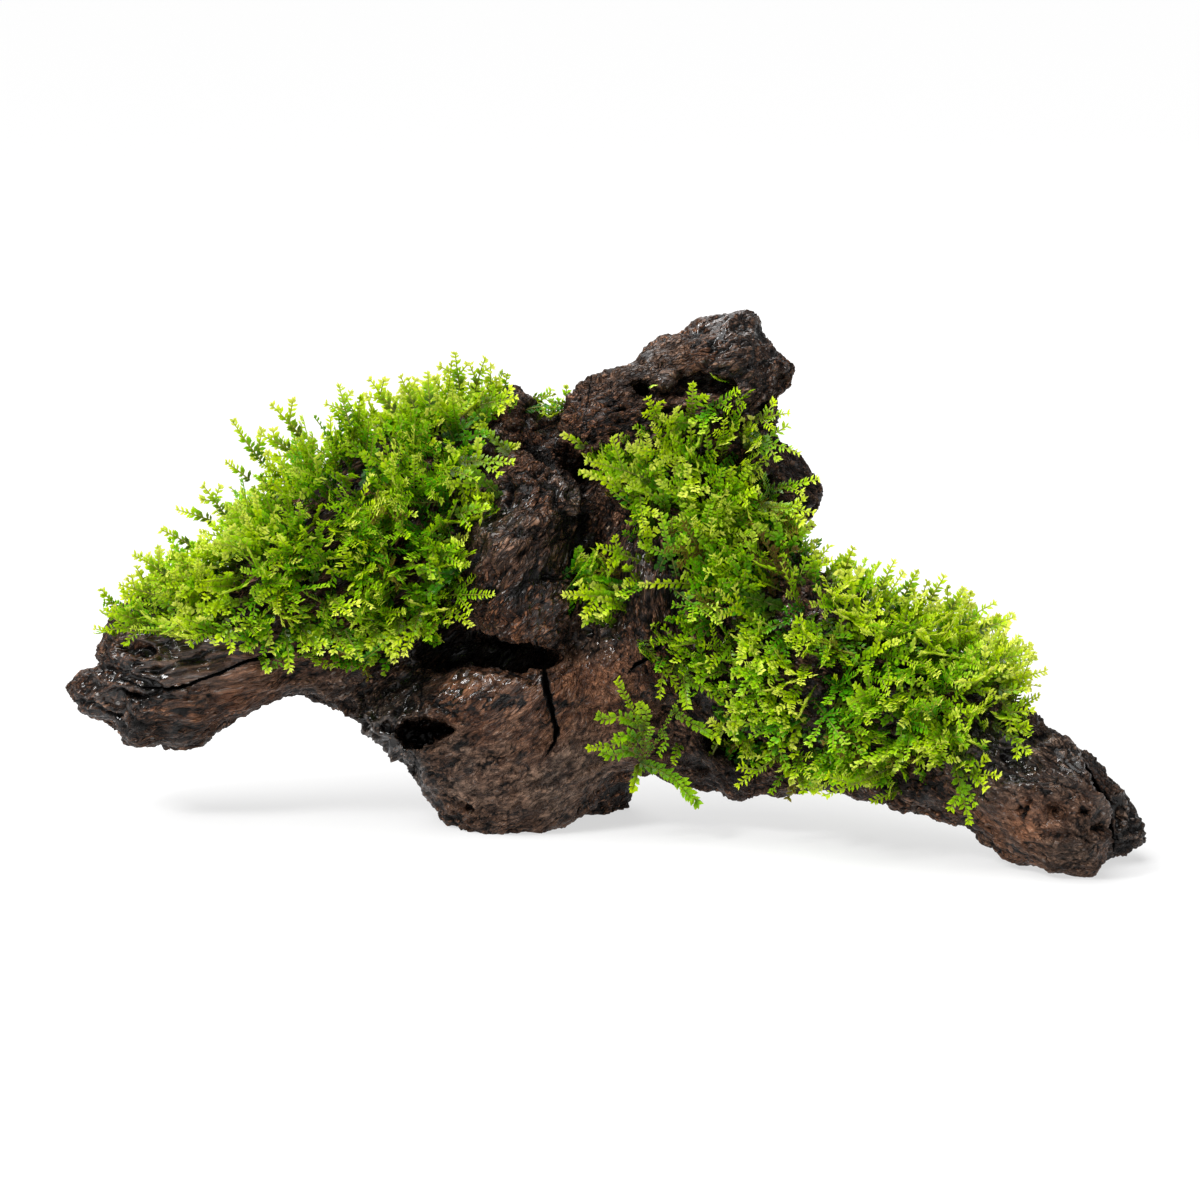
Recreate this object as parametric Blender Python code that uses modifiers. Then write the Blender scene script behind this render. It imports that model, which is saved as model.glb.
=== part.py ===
# Moss on driftwood: a dark, weathered branching root, 200 mm long, that stands on its foot and on the
# tip of its right limb, with two cushions of leafy moss, a sprig and a small tuft growing on it.
# Metres, +Z up, +X to the viewer's right, +Y away from the viewer. The origin is on the surface that
# the wood stands on, under the middle of the whole object's box.
import math

import bmesh
import bpy
from mathutils import Matrix, Vector, noise

# Driving dimensions, in metres and degrees
OVERALL_LENGTH = 0.200        # left end of the wood to its right tip
JOINT_GAP = 0.0003            # between neighbouring pieces
WOOD_VOXEL = 0.0016
LUMP_SIZE = 0.011             # size and height of the weathered lumps
LUMP_HEIGHT = 0.0011
RIDGE_SIZE = 0.0055           # size and height of the ridges between the pits
RIDGE_HEIGHT = 0.0008
WOOD_FACES = 4900
MOSS_VOXEL = 0.0018
TUFT_SIZE = 0.0060            # size and height of the tufts on a cushion
TUFT_HEIGHT = 0.0016
MOSS_FACES = {"moss_left": 1050, "moss_right": 1400}
MOSS_CLEARANCE = 0.0013       # to the wood, before the cushion's underside is rounded
SPRIG_VOXEL = 0.0007
SPRIG_FACES = 460
REAR_FACES = 120

# Front view: pixels of a 1200 x 1200 frame, seen level with the middle of the wood from a little above
FRAME_CENTRE = 600.0
LEFT_END_PX = 67.0
RIGHT_TIP_PX = 1146.0
FLOOR_PY = 816.3              # the floor straight below the wood's middle line
VIEW_ELEVATION = math.radians(12.0)
VIEW_DISTANCE = 0.90

PIXEL = OVERALL_LENGTH / (RIGHT_TIP_PX - LEFT_END_PX)
MM = 0.001
RIM_POINTS = 20
STEPS_BETWEEN_RIBS = 4

# Each rib is (px, py) of one edge, (px, py) of the other edge, its depth and half depth in millimetres
LEFT_LIMB = [
    ((65, 685), (67, 702), 0, 3.0),
    ((83, 669), (90, 714), 0, 6.5),
    ((99, 640), (112, 736), 0, 9.0),
    ((118, 608), (132, 748), 0, 11.0),
    ((145, 603), (158, 751), 0, 12.5),
    ((185, 598), (200, 744), 0, 13.0),
    ((238, 564), (255, 710), 1, 14.0),
    ((290, 503), (310, 696), 3, 14.5),
    ((345, 458), (370, 708), 5, 14.5),
    ((405, 430), (430, 706), 6, 14.5),
    ((460, 413), (485, 700), 7, 14.0),
    ((510, 440), (530, 690), 7, 12.0),
]
FOOT = [
    ((444, 826), (552, 828), -4, 10.0),
    ((430, 806), (590, 806), -4, 12.5),
    ((408, 772), (622, 770), -4, 14.5),
    ((378, 738), (645, 735), -3, 16.0),
    ((348, 712), (662, 695), -2, 17.0),
    ((392, 672), (668, 652), -1, 17.0),
    ((440, 622), (662, 612), 4, 12.5),
    ((455, 562), (655, 560), 5, 12.0),
    ((468, 512), (640, 512), 5, 11.5),
    ((495, 470), (610, 480), 5, 9.5),
]
HEEL = [
    ((520, 818), (626, 818), 5, 7.0),
    ((520, 798), (630, 794), 5, 8.0),
    ((525, 768), (640, 760), 4, 10.0),
    ((535, 730), (645, 722), 2, 11.0),
]
PLATE = [
    ((474, 632), (566, 650), -10, 8.0),
    ((460, 592), (582, 604), -9, 10.0),
    ((460, 552), (584, 560), -7, 10.5),
    ((480, 508), (584, 512), -6, 9.5),
    ((494, 472), (574, 484), -5, 7.0),
    ((504, 450), (546, 459), -4, 3.5),
]
COLUMN = [
    ((580, 745), (690, 765), -4, 11.0),
    ((572, 690), (700, 705), -6, 13.0),
    ((578, 640), (705, 640), -6, 13.5),
    ((590, 580), (720, 570), -4, 13.5),
    ((594, 522), (740, 505), -1, 13.0),
    ((596, 478), (740, 450), 3, 12.0),
]
RIGHT_LIMB = [
    ((650, 520), (614, 768), -3, 14.0),
    ((725, 520), (676, 787), -5, 15.0),
    ((790, 548), (742, 794), -9, 15.0),
    ((850, 590), (812, 790), -15, 14.0),
    ((908, 626), (870, 802), -21, 13.0),
    ((962, 658), (930, 816), -27, 12.5),
    ((1008, 696), (975, 830), -32, 12.0),
    ((1048, 722), (1012, 856), -36, 11.0),
    ((1078, 746), (1050, 871), -40, 9.5),
    ((1097, 776), (1086, 875), -42, 7.5),
    ((1107, 815), (1103, 864), -43, 4.5),
]
TIP_LOBE = [
    ((1062, 735), (1050, 830), -31, 8.0),
    ((1090, 760), (1080, 850), -31, 8.0),
    ((1118, 790), (1108, 857), -31, 7.0),
    ((1138, 812), (1130, 853), -31, 5.0),
    ((1146, 828), (1141, 843), -31, 2.0),
]
TOP_STUMP = [
    ((553, 432), (554, 462), 5, 6.0),
    ((573, 392), (578, 480), 5, 11.0),
    ((611, 370), (620, 502), 5, 14.0),
    ((650, 347), (665, 522), 5, 15.0),
    ((690, 324), (708, 532), 5, 15.0),
    ((727, 312), (745, 536), 5, 14.0),
    ((752, 315), (772, 532), 5, 12.0),
    ((766, 345), (784, 520), 5, 8.0),
]
STUMP_BEAK = [
    ((750, 326), (752, 410), 4, 9.0),
    ((775, 350), (772, 404), 4, 8.0),
    ((788, 362), (786, 394), 4, 5.5),
    ((795, 372), (794, 383), 4, 2.0),
]
STUMP_KNEE = [
    ((765, 430), (765, 535), 4, 10.0),
    ((795, 458), (795, 527), 4, 8.5),
    ((815, 474), (813, 513), 4, 6.0),
    ((824, 488), (823, 500), 4, 2.0),
]
BRIDGE = [
    ((470, 416), (472, 520), 9, 9.0),
    ((506, 388), (506, 505), 9, 8.5),
    ((524, 398), (526, 505), 8, 8.5),
    ((555, 418), (556, 505), 7, 9.0),
    ((590, 425), (590, 505), 6, 9.0),
]
WOOD_FORMS = [
    LEFT_LIMB, FOOT, HEEL, PLATE, COLUMN, RIGHT_LIMB, TIP_LOBE, TOP_STUMP, STUMP_BEAK, STUMP_KNEE, BRIDGE,
]

# Hollows: (px, py), depth, half sizes across, deep and high in millimetres, and the turn in the view
HOLLOWS = [
    ((500, 653), -16, (12.0, 15.0, 3.6), -9),     # under the plate
    ((448, 648), -14, (7.5, 12.0, 4.4), 0),
    ((400, 676), -16, (8.5, 10.0, 3.2), 14),      # under the left cushion
    ((574, 466), -6, (7.5, 9.0, 2.3), -34),       # valley between the plate and the stump
    ((478, 488), -12, (3.4, 9.0, 6.4), -32),      # left of the plate
    ((425, 733), -16, (6.0, 9.0, 3.3), 8),        # in the porous edge of the foot
    ((363, 722), -14, (2.6, 5.0, 1.7), 34),
    ((384, 752), -15, (2.4, 5.0, 1.5), -50),
    ((738, 750), -20, (7.5, 9.0, 3.4), -10),      # under the right limb
    ((672, 396), -9, (4.6, 5.0, 1.8), 4),         # in the face of the stump
    ((641, 390), -8, (2.6, 5.0, 2.6), 0),
    ((700, 368), -10, (7.0, 2.4, 0.9), 18),
    ((787, 402), 1, (3.0, 9.0, 2.3), 0),          # in the broken end of the stump
    ((778, 434), -3, (3.0, 6.0, 2.6), 0),
    ((768, 372), -6, (2.6, 5.0, 1.8), -40),
    ((468, 808), -15, (1.8, 3.0, 1.8), 0),        # knot hole low on the foot
    ((150, 653), -13, (7.0, 3.4, 2.0), -10),      # swirl at the left end
    ((112, 706), -10, (4.0, 3.4, 2.0), -22),
    ((512, 400), 3, (2.6, 3.0, 2.0), 0),
    ((1057, 812), -47, (2.2, 3.0, 2.0), 0),       # pits in the right tip
    ((1022, 764), -44, (3.2, 2.6, 1.4), -30),
    ((1118, 815), -38, (2.6, 3.4, 3.6), 20),
]
# Cracks: the (px, py, depth) points of the surface along one, its half width, and how deep it is cut,
# in millimetres
CRACKS = [
    ([(541, 652, -18), (549, 700, -20), (557, 733, -19), (545, 758, -19)], 0.75, 6.5),
    ([(583, 480, -12), (586, 530, -15), (580, 580, -18), (570, 632, -18)], 1.3, 9.0),
    (
        [(94, 668, -5), (130, 683, -11), (168, 688, -13), (215, 675, -13), (272, 655, -12)],
        0.7,
        4.5,
    ),
    ([(630, 670, -19), (647, 656, -19), (666, 644, -19)], 0.55, 4.0),
    ([(1112, 850, -36), (1106, 805, -38), (1078, 752, -36)], 0.9, 6.5),
]

# Pieces parted at the main forks: (px, py) of the cut's middle, depth, turn in the view, turn seen from
# above, and the side of the box that is kept, in millimetres
FORK_BOX = 130.0
FORKS = {
    "top_stump": ((566, 486), 5, -13, 0, "corner"),
    "left_limb": ((432, 600), 3, -6, 0, "left"),
    "right_limb": ((716, 660), -8, 12, 14, "right"),
}

MOSS_LEFT = [
    ((122, 590), (104, 636), -3, 7.0),
    ((148, 552), (136, 642), -5, 12.0),
    ((188, 512), (186, 645), -6, 16.0),
    ((232, 436), (238, 648), -6, 17.0),
    ((285, 408), (292, 664), -4, 18.5),
    ((335, 392), (345, 658), -3, 19.5),
    ((390, 386), (402, 660), -2, 20.0),
    ((440, 368), (448, 628), -1, 20.0),
    ((474, 366), (464, 580), 1, 17.5),
    ((500, 392), (492, 486), 3, 13.0),
    ((513, 408), (508, 442), 4, 7.0),
]
MOSS_RIGHT_LIMB = [
    ((572, 572), (574, 604), -15, 4.0),
    ((612, 530), (620, 636), -13, 9.0),
    ((660, 505), (668, 676), -12, 13.0),
    ((712, 495), (715, 712), -11, 16.0),
    ((765, 505), (752, 778), -12, 17.5),
    ((812, 544), (803, 790), -17, 18.5),
    ((862, 560), (852, 794), -22, 18.5),
    ((912, 576), (902, 786), -26, 18.0),
    ((962, 596), (950, 776), -30, 16.5),
    ((1000, 618), (984, 762), -33, 14.0),
    ((1024, 650), (1004, 738), -37, 10.0),
    ((1032, 684), (1020, 716), -38, 5.0),
]
MOSS_STUMP = [
    ((588, 452), (594, 502), -9, 4.0),
    ((630, 440), (628, 530), -8, 8.0),
    ((664, 392), (664, 560), -8, 10.0),
    ((700, 382), (700, 570), -8, 11.0),
    ((742, 390), (742, 575), -7, 11.5),
    ((782, 408), (782, 570), -6, 10.5),
    ((808, 478), (806, 556), -6, 7.0),
]
# Stems of the sprig: (px, py) points, depth at each end, and radius at each end in millimetres
SPRIG_STEMS = [
    ([(641, 764), (640, 735), (634, 712), (619, 682)], (-20.0, -21.5), (1.6, 1.2)),
    ([(640, 738), (616, 728), (597, 719)], (-20.5, -22.0), (1.4, 1.2)),
    ([(640, 752), (612, 748), (589, 746)], (-20.5, -22.5), (1.5, 1.2)),
    ([(641, 764), (662, 768), (680, 782), (693, 798)], (-20.0, -21.0), (1.4, 1.3)),
    ([(639, 764), (636, 776), (632, 788)], (-19.5, -20.0), (1.3, 1.1)),
    ([(641, 762), (656, 744), (662, 722), (672, 700)], (-20.0, -21.0), (1.0, 0.8)),
    ([(664, 712), (690, 722), (714, 738)], (-21.0, -22.5), (1.1, 1.1)),
]
REAR_TUFT = ((546, 411), 8, (2.7, 3.2, 2.1), -25)

COLLECTION = "moss_on_driftwood"
WOOD_COLOUR = (0.035, 0.019, 0.013, 1.0)
MOSS_COLOUR = (0.22, 0.42, 0.03, 1.0)


def clear_scene():
    for item in list(bpy.data.objects):
        bpy.data.objects.remove(item, do_unlink=True)


def make_collection(name):
    collection = bpy.data.collections.new(name)
    bpy.context.scene.collection.children.link(collection)
    return collection


def make_material(name, colour, roughness):
    material = bpy.data.materials.new(name)
    material.use_nodes = True
    shader = material.node_tree.nodes["Principled BSDF"]
    shader.inputs["Base Color"].default_value = colour
    shader.inputs["Roughness"].default_value = roughness
    shader.inputs["Metallic"].default_value = 0.0
    material.diffuse_color = colour
    return material


# The point at a depth that shows at a pixel of the front view
def spot(pixel, depth):
    forward = Vector((0.0, math.cos(VIEW_ELEVATION), -math.sin(VIEW_ELEVATION)))
    upward = Vector((0.0, math.sin(VIEW_ELEVATION), math.cos(VIEW_ELEVATION)))
    aim_height = (FLOOR_PY - FRAME_CENTRE) * PIXEL / math.cos(VIEW_ELEVATION)
    eye = Vector((0.0, 0.0, aim_height)) - forward * VIEW_DISTANCE
    across = (pixel[0] - FRAME_CENTRE) * PIXEL
    rise = (FRAME_CENTRE - pixel[1]) * PIXEL
    ray = forward * VIEW_DISTANCE + Vector((across, 0.0, 0.0)) + upward * rise
    return eye + ray * ((depth * MM - eye.y) / ray.y)


def blend_points(before, start, end, after, share):
    # Catmull-Rom value between start and end
    square = share * share
    cube = square * share
    return 0.5 * (
        2.0 * start
        + (end - before) * share
        + (2.0 * before - 5.0 * start + 4.0 * end - after) * square
        + (3.0 * start - before - 3.0 * end + after) * cube
    )


def smooth_rows(rows, steps):
    # rows of vectors or numbers, with steps extra rows between each two
    result = []
    last = len(rows) - 1
    for index in range(last):
        before = rows[max(index - 1, 0)]
        after = rows[min(index + 2, last)]
        for step in range(steps):
            share = step / steps
            row = [
                blend_points(a, b, c, d, share)
                for a, b, c, d in zip(before, rows[index], rows[index + 1], after)
            ]
            result.append(row)
    result.append(list(rows[last]))
    return result


# A closed form through ribs, each an oval between its two edge points
def add_loft(mesh, ribs):
    rows = [(spot(first, depth), spot(second, depth), half * MM) for first, second, depth, half in ribs]
    rings = []
    for first, second, half in smooth_rows(rows, STEPS_BETWEEN_RIBS):
        centre = (first + second) / 2
        side = (first - second) / 2
        deep = Vector((0.0, max(half, 0.0005), 0.0))
        ring = []
        for number in range(RIM_POINTS):
            angle = 2 * math.pi * number / RIM_POINTS
            ring.append(mesh.verts.new(centre + side * math.cos(angle) + deep * math.sin(angle)))
        rings.append(ring)
    for ring, following in zip(rings, rings[1:]):
        for number in range(RIM_POINTS):
            after = (number + 1) % RIM_POINTS
            mesh.faces.new((ring[number], ring[after], following[after], following[number]))
    mesh.faces.new(reversed(rings[0]))
    mesh.faces.new(rings[-1])


def new_object(name, mesh, collection, material=None):
    data = bpy.data.meshes.new(name)
    mesh.to_mesh(data)
    mesh.free()
    if material:
        data.materials.append(material)
    item = bpy.data.objects.new(name, data)
    collection.objects.link(item)
    return item


def hide_cutter(cutter):
    cutter.hide_render = True
    cutter.hide_set(True)
    cutter.display_type = "WIRE"


def loft_object(name, forms, collection):
    mesh = bmesh.new()
    for ribs in forms:
        part = bmesh.new()
        add_loft(part, ribs)
        bmesh.ops.recalc_face_normals(part, faces=part.faces[:])
        data = bpy.data.meshes.new("form")
        part.to_mesh(data)
        part.free()
        mesh.from_mesh(data)
        bpy.data.meshes.remove(data)
    return new_object(name, mesh, collection)


def ellipsoid(name, centre, halves, turn, collection, detail=3):
    mesh = bmesh.new()
    bmesh.ops.create_icosphere(mesh, subdivisions=detail, radius=1.0)
    shape = Matrix.Diagonal(Vector(halves) * MM).to_4x4()
    place = Matrix.Translation(centre) @ Matrix.Rotation(math.radians(-turn), 4, "Y") @ shape
    bmesh.ops.transform(mesh, matrix=place, verts=mesh.verts[:])
    return new_object(name, mesh, collection)


# Replaces the object's mesh by what its modifiers make of it
def settle(item):
    graph = bpy.context.evaluated_depsgraph_get()
    data = bpy.data.meshes.new_from_object(item.evaluated_get(graph))
    item.modifiers.clear()
    old = item.data
    item.data = data
    bpy.data.meshes.remove(old)


def remesh(item, voxel):
    change = item.modifiers.new("Remesh", "REMESH")
    change.mode = "VOXEL"
    change.voxel_size = voxel
    settle(item)


def smooth(item, rounds):
    change = item.modifiers.new("Smooth", "SMOOTH")
    change.factor = 0.5
    change.iterations = rounds
    settle(item)


def decimate(item, faces):
    count = sum(len(face.vertices) - 2 for face in item.data.polygons)
    change = item.modifiers.new("Decimate", "DECIMATE")
    change.ratio = min(1.0, faces / count)
    change.use_collapse_triangulate = True
    settle(item)


def combine(item, other, operation):
    change = item.modifiers.new("Boolean", "BOOLEAN")
    change.operation = operation
    change.solver = "EXACT"
    change.object = other
    settle(item)


def displace(item, height_at):
    normals = [vertex.normal.copy() for vertex in item.data.vertices]
    for vertex, normal in zip(item.data.vertices, normals):
        vertex.co += normal * height_at(vertex.co.copy())
    item.data.update()


def grow(item, distance):
    displace(item, lambda place: distance)


def keep_largest(item):
    mesh = bmesh.new()
    mesh.from_mesh(item.data)
    waiting = set(mesh.verts)
    groups = []
    while waiting:
        seed = next(vertex for vertex in mesh.verts if vertex in waiting)
        group = {seed}
        front = [seed]
        waiting.discard(seed)
        while front:
            vertex = front.pop()
            for edge in vertex.link_edges:
                other = edge.other_vert(vertex)
                if other in waiting:
                    waiting.discard(other)
                    group.add(other)
                    front.append(other)
        groups.append(group)
    groups.sort(key=len, reverse=True)
    loose = [vertex for group in groups[1:] for vertex in group]
    bmesh.ops.delete(mesh, geom=loose, context="VERTS")
    mesh.to_mesh(item.data)
    mesh.free()


# Merges points that a cut left almost on each other, and leaves triangles
def clean(item):
    mesh = bmesh.new()
    mesh.from_mesh(item.data)
    bmesh.ops.triangulate(mesh, faces=mesh.faces[:])
    bmesh.ops.remove_doubles(mesh, verts=mesh.verts[:], dist=0.000004)
    bmesh.ops.dissolve_degenerate(mesh, edges=mesh.edges[:], dist=0.000002)
    bmesh.ops.triangulate(mesh, faces=mesh.faces[:])
    bmesh.ops.recalc_face_normals(mesh, faces=mesh.faces[:])
    mesh.to_mesh(item.data)
    mesh.free()
    keep_largest(item)


def wood_height(place):
    lump = noise.fractal(place / LUMP_SIZE, 0.9, 2.0, 3)
    stretched = Vector((place.x * 0.7, place.y, place.z * 1.3))
    ridge = 1.0 - 2.0 * abs(noise.noise(stretched / RIDGE_SIZE + Vector((7.0, 3.0, 5.0))))
    return LUMP_HEIGHT * lump + RIDGE_HEIGHT * (ridge - 0.6)


def moss_height(place):
    return TUFT_HEIGHT * noise.noise(place / TUFT_SIZE) * 1.6


# A wedge along the crack's points, wide at the surface and closed at its bottom
def crack_cutter(name, points, half_width, cut, collection):
    mesh = bmesh.new()
    route = [spot((px, py), depth) for px, py, depth in points]
    rings = []
    for index, place in enumerate(route):
        before = route[max(index - 1, 0)]
        after = route[min(index + 1, len(route) - 1)]
        along = (after - before).normalized()
        side = along.cross(Vector((0.0, 1.0, 0.0))).normalized()
        at_end = index in (0, len(route) - 1)
        width = half_width * MM * (0.3 if at_end else 1.0)
        deep = cut * MM * (0.5 if at_end else 1.0)
        outer = Vector((0.0, -4.0 * MM, 0.0))
        ring = [
            mesh.verts.new(place + outer + side * width * 1.6),
            mesh.verts.new(place + Vector((0.0, deep, 0.0)) + side * width * 0.4),
            mesh.verts.new(place + Vector((0.0, deep, 0.0)) - side * width * 0.4),
            mesh.verts.new(place + outer - side * width * 1.6),
        ]
        rings.append(ring)
    for ring, following in zip(rings, rings[1:]):
        for number in range(4):
            after = (number + 1) % 4
            mesh.faces.new((ring[number], ring[after], following[after], following[number]))
    mesh.faces.new(reversed(rings[0]))
    mesh.faces.new(rings[-1])
    bmesh.ops.recalc_face_normals(mesh, faces=mesh.faces[:])
    return new_object(name, mesh, collection)


# A big box whose chosen side or corner is at the cut, spread by a margin
def fork_cutter(name, fork, margin, collection):
    pixel, depth, turn, swing, side = fork
    size = FORK_BOX * MM
    mesh = bmesh.new()
    bmesh.ops.create_cube(mesh, size=size)
    shift = {
        "left": Vector((-size / 2 + margin, 0.0, 0.0)),
        "right": Vector((size / 2 - margin, 0.0, 0.0)),
        "corner": Vector((size / 2 - margin, 0.0, size / 2 - margin)),
    }[side]
    turned = Matrix.Rotation(math.radians(swing), 4, "Z") @ Matrix.Rotation(math.radians(-turn), 4, "Y")
    place = Matrix.Translation(spot(pixel, depth)) @ turned @ Matrix.Translation(shift)
    bmesh.ops.transform(mesh, matrix=place, verts=mesh.verts[:])
    return new_object(name, mesh, collection)


def floor_cutter(collection):
    size = 2 * OVERALL_LENGTH
    mesh = bmesh.new()
    bmesh.ops.create_cube(mesh, size=size)
    bmesh.ops.translate(mesh, vec=Vector((0.0, 0.0, -size / 2)), verts=mesh.verts[:])
    return new_object("floor_cutter", mesh, collection)


def build_wood(parts, cutters, material):
    wood = loft_object("trunk", WOOD_FORMS, parts)
    remesh(wood, WOOD_VOXEL)
    smooth(wood, 3)
    displace(wood, wood_height)
    for number, (pixel, depth, halves, turn) in enumerate(HOLLOWS):
        cutter = ellipsoid(f"hollow_{number}", spot(pixel, depth), halves, turn, cutters)
        combine(wood, cutter, "DIFFERENCE")
        hide_cutter(cutter)
    keep_largest(wood)
    decimate(wood, WOOD_FACES)
    for number, (points, half_width, cut) in enumerate(CRACKS):
        cutter = crack_cutter(f"crack_{number}", points, half_width, cut, cutters)
        combine(wood, cutter, "DIFFERENCE")
        hide_cutter(cutter)
    floor = floor_cutter(cutters)
    combine(wood, floor, "DIFFERENCE")
    hide_cutter(floor)
    wood.data.materials.clear()
    wood.data.materials.append(material)
    pieces = []
    for name, fork in FORKS.items():
        whole = fork_cutter(f"{name}_fork", fork, 0.0, cutters)
        spread = fork_cutter(f"{name}_fork_gap", fork, JOINT_GAP, cutters)
        limb = bpy.data.objects.new(name, wood.data.copy())
        parts.objects.link(limb)
        combine(limb, whole, "INTERSECT")
        combine(wood, spread, "DIFFERENCE")
        hide_cutter(whole)
        hide_cutter(spread)
        pieces.append(limb)
    pieces.append(wood)
    for piece in pieces:
        clean(piece)
    return pieces


def build_cushion(name, forms, wood, parts, material):
    moss = loft_object(name, forms, parts)
    remesh(moss, MOSS_VOXEL)
    smooth(moss, 4)
    displace(moss, moss_height)
    combine(moss, wood, "DIFFERENCE")
    remesh(moss, MOSS_VOXEL * 0.7)
    keep_largest(moss)
    decimate(moss, MOSS_FACES[name])
    moss.data.materials.clear()
    moss.data.materials.append(material)
    keep_largest(moss)
    return moss


def build_sprig(name, wood, parts, material):
    mesh = bmesh.new()
    for points, depths, radii in SPRIG_STEMS:
        last = len(points) - 1
        for index, point in enumerate(points):
            if index == last:
                continue
            for step in range(4):
                share = (index + step / 4) / last
                pixel = Vector(point).lerp(Vector(points[index + 1]), step / 4)
                centre = spot(pixel, depths[0] + (depths[1] - depths[0]) * share)
                radius = (radii[0] + (radii[1] - radii[0]) * share) * MM
                matrix = Matrix.Translation(centre)
                bmesh.ops.create_icosphere(mesh, subdivisions=2, radius=radius, matrix=matrix)
        tip = spot(points[last], depths[1])
        matrix = Matrix.Translation(tip)
        bmesh.ops.create_icosphere(mesh, subdivisions=2, radius=radii[1] * MM, matrix=matrix)
    sprig = new_object(name, mesh, parts)
    remesh(sprig, SPRIG_VOXEL)
    smooth(sprig, 2)
    decimate(sprig, SPRIG_FACES)
    combine(sprig, wood, "DIFFERENCE")
    sprig.data.materials.clear()
    sprig.data.materials.append(material)
    clean(sprig)
    return sprig


def build_rear_tuft(name, wood, parts, material):
    pixel, depth, halves, turn = REAR_TUFT
    tuft = ellipsoid(name, spot(pixel, depth), halves, turn, parts)
    displace(tuft, moss_height)
    decimate(tuft, REAR_FACES)
    combine(tuft, wood, "DIFFERENCE")
    tuft.data.materials.clear()
    tuft.data.materials.append(material)
    clean(tuft)
    return tuft


def join_copies(name, pieces, collection):
    mesh = bmesh.new()
    for piece in pieces:
        mesh.from_mesh(piece.data)
    return new_object(name, mesh, collection)


# Moves all the pieces so that the origin is under the middle of their common box
def centre_on_floor(pieces):
    corners = [vertex.co for piece in pieces for vertex in piece.data.vertices]
    low = Vector(min(corner[axis] for corner in corners) for axis in range(3))
    high = Vector(max(corner[axis] for corner in corners) for axis in range(3))
    shift = Vector((-(low.x + high.x) / 2, -(low.y + high.y) / 2, -low.z))
    for piece in pieces:
        piece.data.transform(Matrix.Translation(shift))
    return shift, high - low


def main():
    clear_scene()
    parts = make_collection(COLLECTION)
    cutters = make_collection("cutters")
    wood_material = make_material("wet_wood", WOOD_COLOUR, 0.35)
    moss_material = make_material("moss", MOSS_COLOUR, 0.5)
    pieces = build_wood(parts, cutters, wood_material)
    grown = join_copies("grown_wood", pieces, cutters)
    remesh(grown, WOOD_VOXEL * 0.6)
    smooth(grown, 2)
    grow(grown, MOSS_CLEARANCE)
    remesh(grown, WOOD_VOXEL * 0.8)
    keep_largest(grown)
    pieces.append(build_cushion("moss_left", [MOSS_LEFT], grown, parts, moss_material))
    pieces.append(
        build_cushion("moss_right", [MOSS_RIGHT_LIMB, MOSS_STUMP], grown, parts, moss_material)
    )
    pieces.append(build_sprig("moss_sprig", grown, parts, moss_material))
    pieces.append(build_rear_tuft("moss_rear", grown, parts, moss_material))
    hide_cutter(grown)
    shift, size = centre_on_floor(pieces)
    print("moved by", [round(value / MM, 3) for value in shift])
    print("size", [round(value / MM, 2) for value in size])
    return shift


LAST_SHIFT = main()
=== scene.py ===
import math
import random

import bmesh
import bpy
import numpy as np
from mathutils import Matrix, Vector
from mathutils import noise as field
from mathutils.bvhtree import BVHTree


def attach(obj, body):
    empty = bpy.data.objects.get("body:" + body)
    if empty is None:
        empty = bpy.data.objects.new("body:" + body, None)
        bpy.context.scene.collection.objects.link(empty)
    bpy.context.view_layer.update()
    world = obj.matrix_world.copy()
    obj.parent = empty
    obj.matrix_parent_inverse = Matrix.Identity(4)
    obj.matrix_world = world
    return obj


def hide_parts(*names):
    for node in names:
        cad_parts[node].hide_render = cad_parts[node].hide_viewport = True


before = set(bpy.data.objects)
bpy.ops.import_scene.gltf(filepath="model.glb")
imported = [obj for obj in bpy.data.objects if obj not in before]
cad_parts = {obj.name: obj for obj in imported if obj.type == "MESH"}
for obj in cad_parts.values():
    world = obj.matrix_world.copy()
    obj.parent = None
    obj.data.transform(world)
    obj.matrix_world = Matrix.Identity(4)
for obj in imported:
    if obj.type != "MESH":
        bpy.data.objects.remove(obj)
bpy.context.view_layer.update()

mm = 0.001
woodNodes = ["trunk", "left_limb", "right_limb", "top_stump"]

# What the photograph's view gives: 1200 x 1200 pixels, seen from a little above
view = {
    "frameCentre": 600.0,
    "pixel": 0.200 / 1079.0,          # metres to a pixel in the wood's middle plane
    "floorRow": 816.3,                # the floor straight below the wood's middle line
    "elevation": math.radians(12.0),
    "distance": 0.90,
    "sensor": 36.0,
    "middle": (0.000721, 0.014174),   # the frame's place of the photograph's middle line
}


def aheadOf():
    return Vector((0.0, math.cos(view["elevation"]), -math.sin(view["elevation"])))


def upwardOf():
    return (0.0, math.sin(view["elevation"]), math.cos(view["elevation"]))


def eyePoint():
    aim = (view["floorRow"] - view["frameCentre"]) * view["pixel"] / math.cos(view["elevation"])
    return Vector((view["middle"][0], view["middle"][1], aim)) - aheadOf() * view["distance"]


def sightLine(px, py):
    across = Vector(((px - view["frameCentre"]) * view["pixel"], 0.0, 0.0))
    rise = Vector(upwardOf()) * ((view["frameCentre"] - py) * view["pixel"])
    return aheadOf() * view["distance"] + across + rise


def spot(px, py, depth):
    # the point that shows at a pixel, at a depth in mm behind the wood's middle line
    ray = sightLine(px, py)
    eye = eyePoint()
    return eye + ray * ((view["middle"][1] + depth * mm - eye.y) / ray.y)


def pixelOf(place):
    # where a point shows in the photograph's view
    away = place - eyePoint()
    away = away * (view["distance"] / away.dot(aheadOf()))
    return (view["frameCentre"] + away.x / view["pixel"],
            view["frameCentre"] - away.dot(Vector(upwardOf())) / view["pixel"])


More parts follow.
